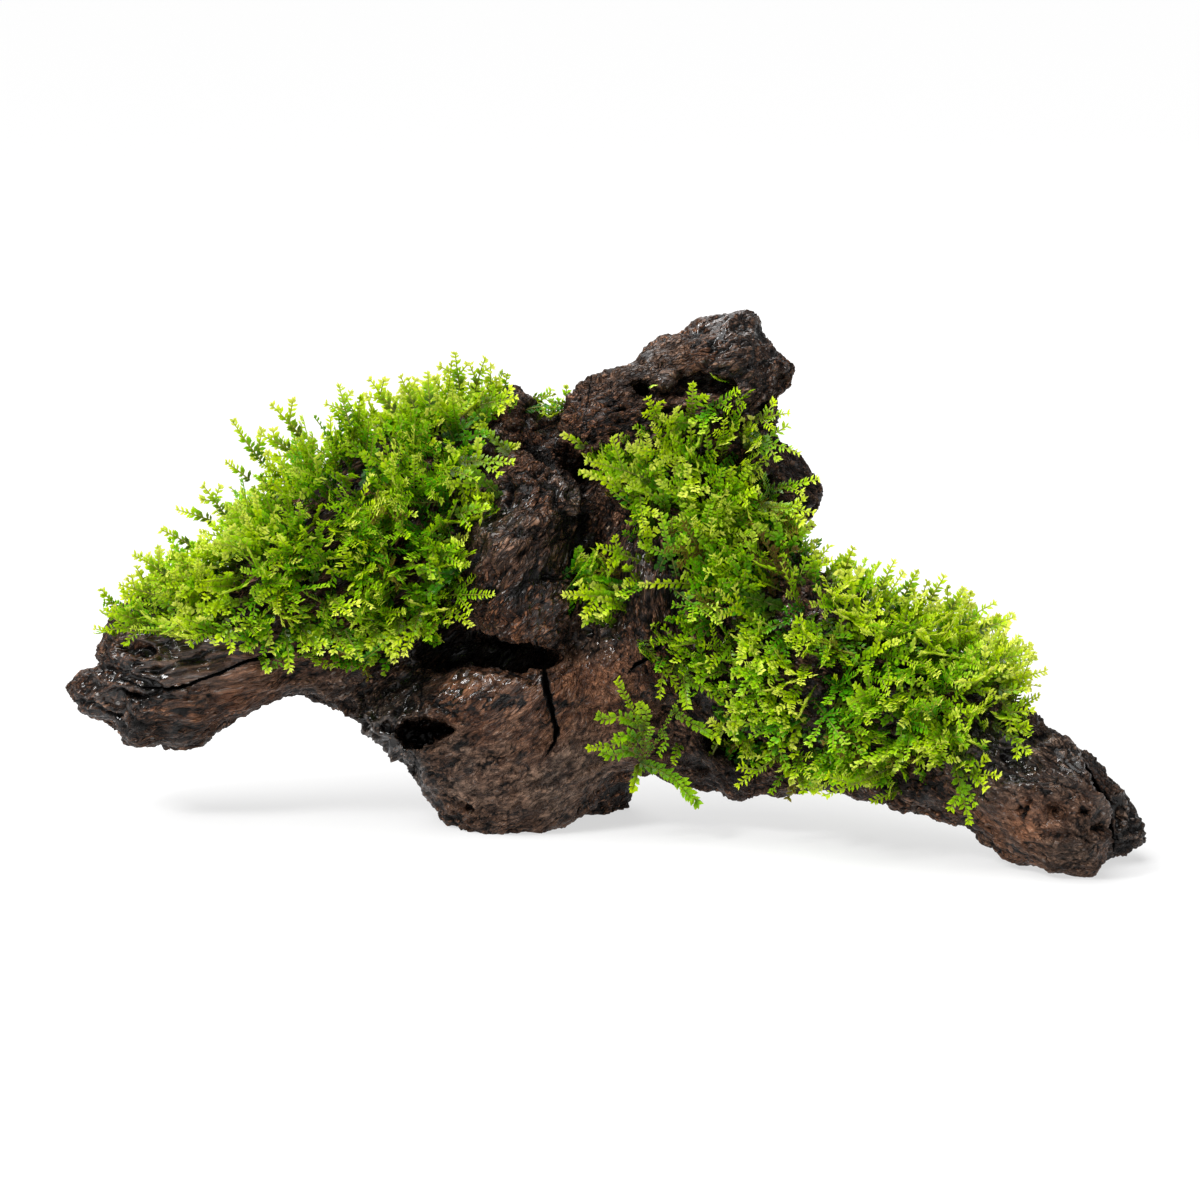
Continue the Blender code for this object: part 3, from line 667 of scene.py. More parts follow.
# Hollows cut deeper than the solids have them: the outline in pixels, the depth of its mouth and of its
# bottom in mm, and how much narrower the bottom is
hollows = [
    ([(398, 655), (408, 640), (428, 624), (452, 616), (478, 628), (503, 638), (530, 646), (556, 652),
      (574, 655), (560, 664), (540, 668), (530, 679), (514, 676), (500, 672), (482, 674), (462, 667),
      (446, 672), (430, 673), (412, 668)], -34, -5, 0.8),
    ([(396, 726), (402, 715), (413, 719), (424, 713), (434, 718), (446, 717), (451, 724), (462, 727),
      (460, 735), (447, 735), (443, 741), (436, 738), (436, 750), (427, 744), (420, 754), (409, 746),
      (402, 749), (401, 738), (393, 738)], -30, -3, 0.8),
    ([(376, 726), (384, 719), (393, 722), (392, 729), (381, 732)], -30, -8, 0.5),
    ([(552, 458), (568, 460), (584, 464), (598, 470), (603, 480), (594, 487), (583, 485), (570, 476),
      (558, 467)], -24, 3, 0.75),
    ([(60, 636), (92, 640), (97, 656), (99, 665), (88, 671), (78, 679), (66, 682), (52, 676)],
     -30, 40, 1.0),
    ([(62, 716), (70, 711), (82, 711), (96, 717), (108, 722), (119, 731), (121, 742), (128, 747),
      (137, 750), (120, 762), (90, 756), (66, 740)], -30, 40, 1.0),
    ([(140, 752), (156, 746), (190, 748), (203, 743), (214, 734), (226, 730), (236, 736), (214, 750),
      (190, 760), (150, 762)], -30, 40, 1.0),
    ([(696, 744), (728, 735), (772, 738), (770, 749), (741, 757), (712, 757)], -36, -14, 0.7),
    ([(622, 384), (634, 375), (650, 377), (657, 390), (654, 402), (640, 404), (630, 396)],
     -24, 0, 0.5),
    ([(658, 376), (672, 367), (698, 368), (724, 376), (746, 386), (740, 400), (714, 396), (690, 390),
      (668, 392)], -24, -4, 0.7),
    ([(766, 374), (778, 370), (797, 377), (795, 387), (776, 388)], -20, 0, 0.6),
    ([(764, 392), (777, 388), (797, 396), (794, 408), (772, 409)], -20, 0, 0.6),
    ([(455, 492), (470, 484), (490, 490), (488, 504), (470, 514), (456, 508)], -22, -6, 0.5),
]
# Cracks: points of the surface as pixels with depth in mm, then half width and depth of cut in mm
cracks = [
    ([(536, 640, -16), (543, 668, -18), (549, 700, -20), (552, 716, -20), (557, 730, -19),
      (554, 745, -19), (545, 758, -19)], 0.55, 6.5),
    ([(577, 476, -12), (583, 500, -13), (584, 530, -15), (580, 560, -17), (577, 590, -18),
      (569, 632, -18)], 0.75, 9.0),
    ([(120, 678, -10), (145, 688, -12), (168, 689, -13), (192, 684, -13), (215, 675, -13),
      (245, 661, -12), (275, 655, -12), (310, 649, -12)], 0.28, 4.5),
    ([(628, 672, -19), (636, 664, -19), (649, 657, -19), (660, 646, -19), (672, 641, -19)], 0.30, 3.5),
    ([(1114, 853, -36), (1110, 826, -38), (1104, 800, -38), (1090, 775, -38), (1072, 750, -36)], 0.45, 6.5),
    ([(486, 676, -18), (505, 672, -18), (520, 678, -18)], 0.25, 2.0),
]


def closeRings(mesh, rings):
    # walls between rings of the same count
    for ring, following in zip(rings, rings[1:]):
        for number in range(len(ring)):
            after = (number + 1) % len(ring)
            mesh.faces.new((ring[number], ring[after], following[after], following[number]))


def hollowCutter(name, outline, mouth, bottom, narrowing, seed):
    # a ragged prism along the line of sight, narrower at its bottom
    draw = random.Random(seed)
    centre = (sum(x for x, _ in outline) / len(outline), sum(y for _, y in outline) / len(outline))
    fine = []
    for number, (x, y) in enumerate(outline):
        after = outline[(number + 1) % len(outline)]
        steps = max(1, int(math.hypot(after[0] - x, after[1] - y) / cuts["outlineStep"]))
        fine += [(x + (after[0] - x) * step / steps, y + (after[1] - y) * step / steps)
                 for step in range(steps)]
    mesh = bmesh.new()
    rings = []
    jitter = cuts["outlineJitter"]
    for level in range(cuts["levels"]):
        share = level / (cuts["levels"] - 1)
        scale = 1.0 - (1.0 - narrowing) * share ** cuts["taper"]
        depth = mouth + (bottom - mouth) * share
        ring = []
        for x, y in fine:
            px = centre[0] + (x - centre[0]) * scale + draw.uniform(-jitter, jitter)
            py = centre[1] + (y - centre[1]) * scale + draw.uniform(-jitter, jitter)
            sunk = depth + draw.uniform(-cuts["depthJitter"], cuts["depthJitter"])
            ring.append(mesh.verts.new(spot(px, py, sunk)))
        rings.append(ring)
    closeRings(mesh, rings)
    for ring, depth in ((rings[0], mouth - 1.0), (rings[-1], bottom + 1.0)):
        cap = mesh.verts.new(spot(*centre, depth))
        for number in range(len(ring)):
            mesh.faces.new((ring[number], ring[(number + 1) % len(ring)], cap))
    bmesh.ops.recalc_face_normals(mesh, faces=mesh.faces[:])
    return meshObject(name, mesh)


def crackWedge(name, points, halfWidth, cut, seed):
    # a ragged wedge along the crack, open at the surface and closed at its bottom
    draw = random.Random(seed)
    route = [spot(*point) for point in points]
    fine = []
    for start, end in zip(route, route[1:]):
        count = max(2, int((end - start).length / (cuts["crackStep"] * mm)))
        fine += [start.lerp(end, number / count) for number in range(count)]
    fine.append(route[-1])
    mesh = bmesh.new()
    rings = []
    mouth = Vector((0.0, -cuts["crackStart"] * mm, 0.0))
    for number, place in enumerate(fine):
        share = number / (len(fine) - 1)
        along = (fine[min(number + 1, len(fine) - 1)] - fine[max(number - 1, 0)]).normalized()
        side = along.cross(Vector((0.0, 1.0, 0.0))).normalized()
        full = min(1.0, 4.0 * share, 5.0 * (1.0 - share)) * 0.85 + 0.15    # runs out at both ends
        width = halfWidth * mm * full * draw.uniform(0.7, 1.3)
        middle = place + side * draw.uniform(-cuts["crackJitter"], cuts["crackJitter"]) * mm
        foot = Vector((0.0, cut * mm * full, 0.0))
        rings.append([mesh.verts.new(middle + mouth + side * width * cuts["crackMouth"]),
                      mesh.verts.new(middle + side * width),
                      mesh.verts.new(middle + foot + side * width * cuts["crackFoot"]),
                      mesh.verts.new(middle + foot - side * width * cuts["crackFoot"]),
                      mesh.verts.new(middle - side * width),
                      mesh.verts.new(middle + mouth - side * width * cuts["crackMouth"])])
    closeRings(mesh, rings)
    mesh.faces.new(reversed(rings[0]))
    mesh.faces.new(rings[-1])
    bmesh.ops.recalc_face_normals(mesh, faces=mesh.faces[:])
    return meshObject(name, mesh)


# Where the limbs part from the trunk, as the solids are parted: pixel, depth in mm, the two turns in
# degrees, and the side that is the limb's, across and up
forks = {
    "top_stump": ((566, 486), 5, -13, 0, (1, 1)),
    "left_limb": ((432, 600), 3, -6, 0, (-1, 0)),
    "right_limb": ((716, 660), -8, 12, 14, (1, 0)),
}
forkBox = 130.0 * mm


def forkBlock(name, fork):
    # a large block that holds the limb's side of the fork
    pixel, depth, turn, swing, (across, up) = fork
    mesh = bmesh.new()
    bmesh.ops.create_cube(mesh, size=forkBox)
    shift = Matrix.Translation(Vector((across, 0.0, up)) * (forkBox / 2))
    turned = Matrix.Rotation(math.radians(swing), 4, "Z") @ Matrix.Rotation(math.radians(-turn), 4, "Y")
    place = Matrix.Translation(spot(*pixel, depth)) @ turned @ shift
    bmesh.ops.transform(mesh, matrix=place, verts=mesh.verts[:])
    return meshObject(name, mesh)


def mendPits(whole):
    # smooths the wood only round the listed pits
    weights = zoneValues(vertexArray(whole.data), mends)
    group = whole.vertex_groups.new(name="mends")
    for number in np.nonzero(weights > 0.02)[0].tolist():
        group.add([number], float(weights[number]), "REPLACE")
    change = whole.modifiers.new("Smooth", "SMOOTH")
    change.factor = wood["mendFactor"]
    change.iterations = wood["mendRounds"]
    change.vertex_group = "mends"
    settle(whole)
    whole.vertex_groups.clear()


def dropCrumbs(data):
    # takes away the small loose bits that the cuts leave
    mesh = bmesh.new()
    mesh.from_mesh(data)
    crumbs = []
    for face in mesh.faces:
        if face.tag:
            continue
        face.tag = True
        part = [face]
        for member in part:
            for edge in member.edges:
                for other in edge.link_faces:
                    if not other.tag:
                        other.tag = True
                        part.append(other)
        if len(part) < wood["crumb"]:
            crumbs += part
    bmesh.ops.delete(mesh, geom=crumbs, context="FACES")
    mesh.to_mesh(data)
    mesh.free()


def restFlat(data):
    # nothing reaches below the floor
    places = vertexArray(data)
    places[:, 2] = np.maximum(places[:, 2], 0.0)
    data.vertices.foreach_set("co", places.astype(np.float32).ravel())
    data.update()


def buildWood():
    whole = joinedCopies("driftwood", woodNodes, wood["closeGap"])
    remesh(whole, wood["voxel"] * wood["coarse"])
    for number, hollow in enumerate(hollows):
        carve(whole, hollowCutter("hollow", *hollow, 10 + number))
    remesh(whole, wood["voxel"])
    soften(whole, wood["smoothing"])
    mendPits(whole)
    places = vertexArray(whole.data)
    storePoints(whole.data, "grain", grainPlaces(places))
    for name, zone in woodZones.items():
        storePoints(whole.data, name, zoneValues(places, zone))
    normals = np.empty(len(places) * 3, np.float32)
    whole.data.vertices.foreach_get("normal", normals)
    storePoints(whole.data, "swirl", swirlValues(places) + markValues(places, normals.reshape(-1, 3)))
    runNodes(whole, weatherTree(), {name: wood[name] for name in weatherInputs})
    restFlat(whole.data)
    for number, (points, halfWidth, cut) in enumerate(cracks):
        carve(whole, crackWedge("crack", points, halfWidth, cut, 40 + number))
    print("wood:", triangles(whole), "triangles before it is parted")
    uncut = whole.data.copy()
    pieces = {}
    for node, fork in forks.items():
        block = forkBlock("block", fork)
        limb = newObject(node, whole.data.copy())
        carve(limb, block, "INTERSECT", keepCutter=True)
        carve(whole, block)
        pieces[node] = limb
    pieces["trunk"] = whole
    for piece in pieces.values():
        dropCrumbs(piece.data)
    return pieces, uncut


def woodMaterial():
    material, tree, shader = newMaterial("wetDriftwood", {"Coat Roughness": 0.08,
                                                          "Specular IOR Level": 0.20})
    place = make(tree, "ShaderNodeTexCoord", output=3)

    def painted(name, output=2):
        return make(tree, "ShaderNodeAttribute", {"attribute_name": name}, output=output)

    grain = painted("grain", 1)
    crest = painted("crest")
    calm = painted("calm")
    shiny = painted("shine")
    soot = painted("soot")
    patches = noise(tree, place, 75.0, 4.0, 0.6).step(0.44, 0.64)
    streaks = noise(tree, grain, 420.0, 5.0, 0.7, 1.0)
    # creases of the grain: short and winding, but long and straight where the wood is worn
    worms = veins(tree, grain, 620.0, 0.26, 1.0, 0.5, 1.4)
    threads = veins(tree, shifted(tree, grain, (0.5, 0.2, 0.4)), 1250.0, 0.30, 1.0, 0.5, 1.2)
    lines = veins(tree, scaled(tree, grain, 0.45), 1900.0, 0.20, 3.0, 0.65, 0.5)
    creases = (0.10 + 0.90 * worms) * (0.30 + 0.70 * threads)
    creases = creases * (1.0 - calm * 0.8) + (0.35 + 0.65 * lines) * calm * 0.8
    # brown and reddish wood under a grey film, which in the grey zones is partly a painted sheen
    dark = mixColour(tree, streaks.step(0.38, 0.66), wood["dark"], wood["pale"])
    red = mixColour(tree, streaks.step(0.38, 0.66), wood["darkRed"], wood["paleRed"])
    base = mixColour(tree, (patches * 0.50 + painted("red") * 0.9 + calm * 0.25).clamp(), dark, red)
    film = mixColour(tree, streaks.step(0.40, 0.70), wood["darkFilm"], wood["paleFilm"])
    base = mixColour(tree, (painted("grey") * 0.70 + (1.0 - patches) * 0.25).clamp(), base, film)
    # painted highlight on the crests, painted shade in the creases and in the low places
    specks = noise(tree, shifted(tree, grain, (0.2, 0.3, 0.1)), 1400.0, 1.0, 0.5)
    # painted highlight: lighter specks on the crests
    paintedCrestLight = crest.step(0.50, 0.80) * specks.step(0.50, 0.60)
    base = mixColour(tree, paintedCrestLight * 0.50, base, wood["crestHighlight"])
    # painted shade: the grain's creases darkened almost to black, less where the wood is worn smooth
    base = mixColour(tree, (1.0 - creases) * (0.97 - calm * 0.30), base, wood["creaseShade"])
    # painted shade in the low places of the relief
    base = mixColour(tree, 1.0 - crest.step(0.05, 0.42), base, wood["deep"])
    # painted glints for drops of water, painted black shadow in the holes, a few pale chips
    glintSpots = noise(tree, shifted(tree, grain, (0.6, 0.1, 0.7)), 1700.0, 1.0, 0.5).step(0.625, 0.675)
    glintSpots = glintSpots * crest.step(0.40, 0.60) * (0.35 + shiny * 0.65) * (1.0 - calm * 0.75)
    base = mixColour(tree, glintSpots * 0.9 * (1.0 - soot), base, wood["paintedGlint"])
    # painted shadow: the holes, hollows and the underside of the right limb made nearly black
    base = mixColour(tree, soot * 0.93, base, wood["soot"])
    chips = cells(tree, grain, 250.0)
    rare = make(tree, "ShaderNodeSeparateXYZ", None, {0: chips.beside(1)}).step(0.90, 0.91)
    base = mixColour(tree, (1.0 - chips.step(0.045, 0.060)) * rare * 0.85, base, wood["chip"])
    join(tree, base, shader.inputs["Base Color"])
    wet = noise(tree, shifted(tree, place, (0.7, 0.4, 0.9)), 160.0, 3.0)
    coat = (wet.step(0.50, 0.64) * 0.45 + shiny).clamp() * (1.0 - calm * 0.8)
    join(tree, 0.58 - wet * 0.22 - shiny * 0.12, shader.inputs["Roughness"])
    join(tree, coat * 0.8, shader.inputs["Coat Weight"])
    fine = noise(tree, place, 3200.0, 2.0, 0.7)
    relief = creases + fine * 0.3 + worms * 0.6 * (1.0 - calm * 0.8)
    bump = make(tree, "ShaderNodeBump", None, {"Strength": 1.0, "Distance": 0.0006, "Height": relief})
    join(tree, bump, shader.inputs["Normal"])
    return material


# The moss

moss = {
    "rootSpacing": 1.95 * mm,         # between the feet of the fronds on the wood
    "leafSpacing": 0.72 * mm,         # along a frond
    "leafLength": 1.38 * mm,
    "leafWidth": 0.78 * mm,
    "leafCup": 0.16 * mm,
    "leafAngle": 52.0,                # degrees between a leaf and its stem
    "stemRadius": 0.16 * mm,
    "stemSpacing": 1.9 * mm,
    "shortest": 4.0 * mm,
    "longest": 13.0 * mm,
    "reach": (0.70, 1.04),            # of the way from the wood to the cushion's outer form
    "branchAngle": 46.0,
    "seed": 7,
    "pathStep": 1.3 * mm,
    "twigStep": 1.4 * mm,
    "bend": (0.10, 0.32),             # how much a frond bends, from least to most
    "droop": 0.06,
    "clearance": 0.5 * mm,            # from a frond that clears the wood to the wood, and from its twigs
    "twigClearance": 0.4 * mm,
    "twigFrom": (0.30, 0.72),         # of the way along the frond
    "twigReach": (0.55, 0.90),        # of the rest of the frond
    "twigTurn": 12.0,                 # degrees off branchAngle, either way
    "twigSize": 0.88,
    "probe": 2.6,                     # mm over the wood, where the cushion has to be for a root
    "rootLift": 2.4,                  # mm over the wood, where the way to the outer form is measured from
    "rootSink": 0.3,                  # mm that a frond's foot is in the wood
    # how much of each is in the way that a frond stands
    "stand": {"wood": 0.85, "outward": 0.40, "up": 0.10, "random": 0.62, "wave": 0.9},
    "clumpSize": 7.0 * mm,
    "waveSize": 9.0 * mm,
    "tintSize": 10.0 * mm,
    "tone": 0.88,
    "toneSpread": 0.26,
    "tint": 0.42,
    "tintSpread": 0.22,
    "bareTip": 0.9,                   # of a bare spot's reach, for tips
    "backEdge": 20.0 * mm,            # behind this, a face that looks back has no bare spots
    # where the cushions are parted into pieces, in metres along x
    "partings": {"moss_left": (-0.062, -0.044), "moss_right": (0.018, 0.036, 0.054)},
    # colours from the dark feet to the pale tips, for yellowish and for greener fronds: the older leaves'
    # deeper colour with painted shade towards the feet
    "yellowRamp": [(0.0, (0.008, 0.010, 0.0005)), (0.24, (0.050, 0.085, 0.0010)),
                   (0.48, (0.220, 0.420, 0.0005)), (0.74, (0.570, 0.790, 0.003)),
                   (1.0, (0.920, 0.950, 0.150))],
    "greenRamp": [(0.0, (0.004, 0.012, 0.0005)), (0.24, (0.014, 0.090, 0.0010)),
                  (0.48, (0.070, 0.340, 0.0015)), (0.74, (0.310, 0.650, 0.006)),
                  (1.0, (0.740, 0.860, 0.090))],
    "dryLeaf": ((0.045, 0.022, 0.006), (0.20, 0.11, 0.02)),
    "stemColour": ((0.030, 0.030, 0.008), (0.48, 0.56, 0.05)),
}

# Single fronds that stand clear of the cushions: pixel of the foot, pixel of the tip, lift of the tip
# towards the viewer in mm, and tone from deep (0) to pale (1)
clearFronds = [
    ((955, 775), (1000, 772), 2.0, 0.8), ((950, 740), (967, 822), 3.0, 0.6),
    ((993, 725), (1033, 747), 2.0, 0.7), ((1000, 700), (1027, 730), 2.0, 0.8),
    ((784, 753), (737, 780), 3.0, 0.7), ((893, 767), (828, 799), 4.0, 0.6),
    ((900, 790), (874, 797), 3.0, 0.6), ((791, 768), (816, 790), 3.0, 0.5),
    ((620, 600), (567, 590), 3.0, 0.9), ((650, 480), (590, 455), 4.0, 0.8),
    ((690, 420), (695, 385), 3.0, 0.7), ((710, 410), (737, 393), 3.0, 0.7),
    ((665, 430), (648, 398), 3.0, 0.7), ((755, 420), (786, 410), 2.0, 0.7),
    ((749, 437), (799, 449), 3.0, 0.8), ((773, 490), (818, 480), 3.0, 0.9),
    ((758, 507), (812, 506), 3.0, 0.8), ((880, 590), (893, 563), 0.0, 1.0),
    ((930, 600), (945, 578), 0.0, 1.0), ((980, 630), (1012, 617), 0.0, 1.0),
    ((1000, 660), (1028, 652), 1.0, 0.9), ((1000, 690), (1027, 690), 1.0, 0.9),
    ((960, 625), (990, 600), 0.0, 1.0), ((905, 595), (915, 572), 0.0, 1.0),
    ((950, 610), (966, 592), 0.0, 1.0), ((845, 570), (850, 548), 1.0, 1.0),
    ((640, 640), (690, 690), 3.0, 0.6), ((665, 660), (720, 700), 3.0, 0.6),
    ((440, 558), (464, 543), 3.0, 0.9), ((440, 567), (466, 562), 3.0, 0.8),
    ((440, 595), (492, 596), 3.0, 0.8), ((440, 606), (475, 617), 3.0, 0.9),
    ((460, 462), (511, 456), 2.0, 0.6), ((450, 470), (477, 476), 2.0, 0.6),
    ((455, 515), (484, 506), 3.0, 0.7), ((480, 405), (516, 395), 2.0, 0.8),
    ((460, 390), (454, 353), 1.0, 1.0), ((475, 390), (482, 358), 1.0, 1.0),
    ((495, 400), (498, 378), 1.0, 0.9), ((430, 405), (427, 375), 0.0, 1.0),
    ((395, 412), (370, 382), 0.0, 1.0), ((415, 408), (402, 378), 0.0, 1.0),
    ((350, 425), (338, 388), 0.0, 1.0), ((300, 435), (274, 405), 0.0, 1.0),
    ((290, 450), (262, 432), 0.0, 1.0), ((262, 462), (230, 425), 0.0, 1.0),
    ((250, 480), (228, 462), 0.0, 1.0), ((225, 515), (205, 487), 0.0, 1.0),
    ((210, 520), (180, 508), 0.0, 1.0), ((190, 545), (165, 527), 0.0, 1.0),
    ((165, 575), (139, 552), 1.0, 1.0), ((155, 595), (121, 584), 1.0, 0.9),
    ((285, 630), (292, 667), 4.0, 0.9), ((330, 628), (350, 657), 4.0, 0.9),
    ((300, 625), (318, 655), 4.0, 0.8), ((345, 630), (358, 662), 4.0, 0.8),
    ((400, 615), (395, 660), 4.0, 0.9), ((420, 610), (408, 655), 4.0, 0.9),
    ((370, 620), (388, 656), 4.0, 0.8), ((225, 618), (235, 648), 3.0, 0.7),
    ((140, 620), (110, 612), 2.0, 0.6), ((150, 625), (108, 630), 2.0, 0.5),
    ((330, 598), (352, 612), 5.0, 0.9), ((640, 560), (600, 548), 3.0, 0.7),
]

# The loose sprig below the right cushion: pixels along each stem, its depths, and its leaves' size
sprigStems = [
    ([(641, 764), (645, 746), (641, 724), (628, 702), (618, 681)], (-20.0, -21.5), 0.85),
    ([(643, 736), (636, 722), (622, 716), (606, 720), (599, 716)], (-20.5, -22.5), 1.15),
    ([(642, 728), (648, 716), (640, 704)], (-21.0, -22.5), 1.10),
    ([(640, 752), (626, 740), (610, 746), (590, 748)], (-20.5, -22.5), 0.80),
    ([(640, 756), (628, 750), (612, 756), (604, 753)], (-20.5, -22.5), 1.15),
    ([(638, 742), (628, 734), (618, 738)], (-21.5, -23.0), 1.10),
    ([(641, 764), (656, 766), (672, 774), (686, 786), (696, 801)], (-20.0, -21.0), 1.20),
    ([(642, 764), (658, 769), (674, 779), (690, 797)], (-20.6, -21.8), 0.95),
    ([(639, 764), (637, 776), (633, 788)], (-19.5, -20.0), 1.05),
    ([(641, 762), (654, 746), (664, 728), (673, 710), (684, 692)], (-20.0, -21.0), 0.45),
    ([(662, 730), (666, 742), (660, 752)], (-20.5, -22.0), 0.80),
    ([(672, 712), (680, 716), (700, 728), (717, 739)], (-21.0, -22.5), 0.95),
    ([(652, 748), (648, 738), (651, 728)], (-20.5, -22.0), 0.70),
]

# Where the wood shows through the moss: pixel, and reach in pixels
bareSpots = [
    ((135, 652), 24), ((165, 658), 22), ((198, 658), 18), ((228, 654), 12), ((108, 640), 10),
    ((430, 655), 16), ((455, 640), 14), ((480, 640), 14), ((510, 640), 14), ((792, 425), 12),
    ((797, 462), 30), ((815, 488), 28), ((785, 482), 22), ((775, 430), 20), ((640, 405), 20),
    ((722, 398), 14), ((668, 396), 16), ((760, 405), 18), ((690, 405), 14), ((745, 412), 10),
    ((606, 520), 24), ((622, 548), 15), ((655, 604), 23), ((632, 628), 16), ((668, 560), 12),
    ((715, 640), 12), ((882, 668), 14), ((842, 700), 10), ((505, 430), 20), ((492, 470), 22),
    ((495, 540), 24), ((485, 575), 18), ((458, 478), 10), ((240, 600), 12), ((320, 585), 10),
    ((395, 600), 12), ((770, 640), 9), ((930, 720), 10), ((600, 680), 34), ((622, 655), 18),
    ((640, 695), 24), ((668, 705), 14), ((700, 735), 18), ((765, 772), 14), ((870, 802), 18),
    ((912, 806), 24), ((945, 800), 24), ((830, 790), 8), ((560, 480), 20), ((1000, 740), 16),
    ((474, 654), 18), ((440, 655), 16), ((500, 656), 16), ((594, 486), 16), ((588, 510), 18),
    ((585, 535), 16), ((570, 560), 14), ((548, 440), 16), ((150, 672), 12), ((795, 405), 10),
    ((802, 430), 12), ((772, 380), 12), ((506, 664), 12),
]

# Where the moss is paler (more than 0) or deeper (less), the pale spots on the cushions' edges being
# painted backlight: pixel, reach in mm, by how much
toneAndLightPlaces = [
    ((160, 590), 9, 0.30), ((250, 470), 11, 0.25), ((440, 380), 11, 0.25), ((330, 400), 8, 0.20),
    ((380, 480), 12, -0.10), ((440, 440), 8, -0.1), ((230, 560), 10, 0.12), ((350, 560), 9, 0.05),
    ((840, 560), 10, 0.18), ((930, 600), 13, 0.24), ((1000, 660), 11, 0.26), ((720, 590), 10, -0.12),
    ((880, 660), 10, -0.25), ((900, 720), 8, -0.10), ((700, 450), 9, -0.05), ((760, 560), 8, -0.1),
    ((600, 600), 9, 0.2), ((610, 460), 8, 0.15), ((690, 650), 8, -0.1), ((780, 720), 10, -0.1),
]


def leafShape():
    # a closed, cupped leaf with a broad foot: its outline of five points, flat above and keeled below
    length = moss["leafLength"]
    half = moss["leafWidth"] / 2
    cup = moss["leafCup"]
    points = [(0.0, 0.45, 0.0), (0.0, -0.45, 0.0), (0.56, -1.0, 1.0), (1.0, 0.0, 0.35), (0.56, 1.0, 1.0)]
    mesh = bpy.data.meshes.new("leaf")
    mesh.from_pydata([(along * length, across * half, up * cup) for along, across, up in points], [],
                     [(0, 1, 2), (0, 2, 4), (4, 2, 3), (3, 2, 1), (3, 1, 0), (3, 0, 4)])
    storePoints(mesh, "along", [point[0] for point in points])
    storePoints(mesh, "across", [point[1] for point in points])
    return newObject("leaf", mesh)


frondSizes = ("leafSpacing", "leafAngle", "stemRadius", "stemSpacing")


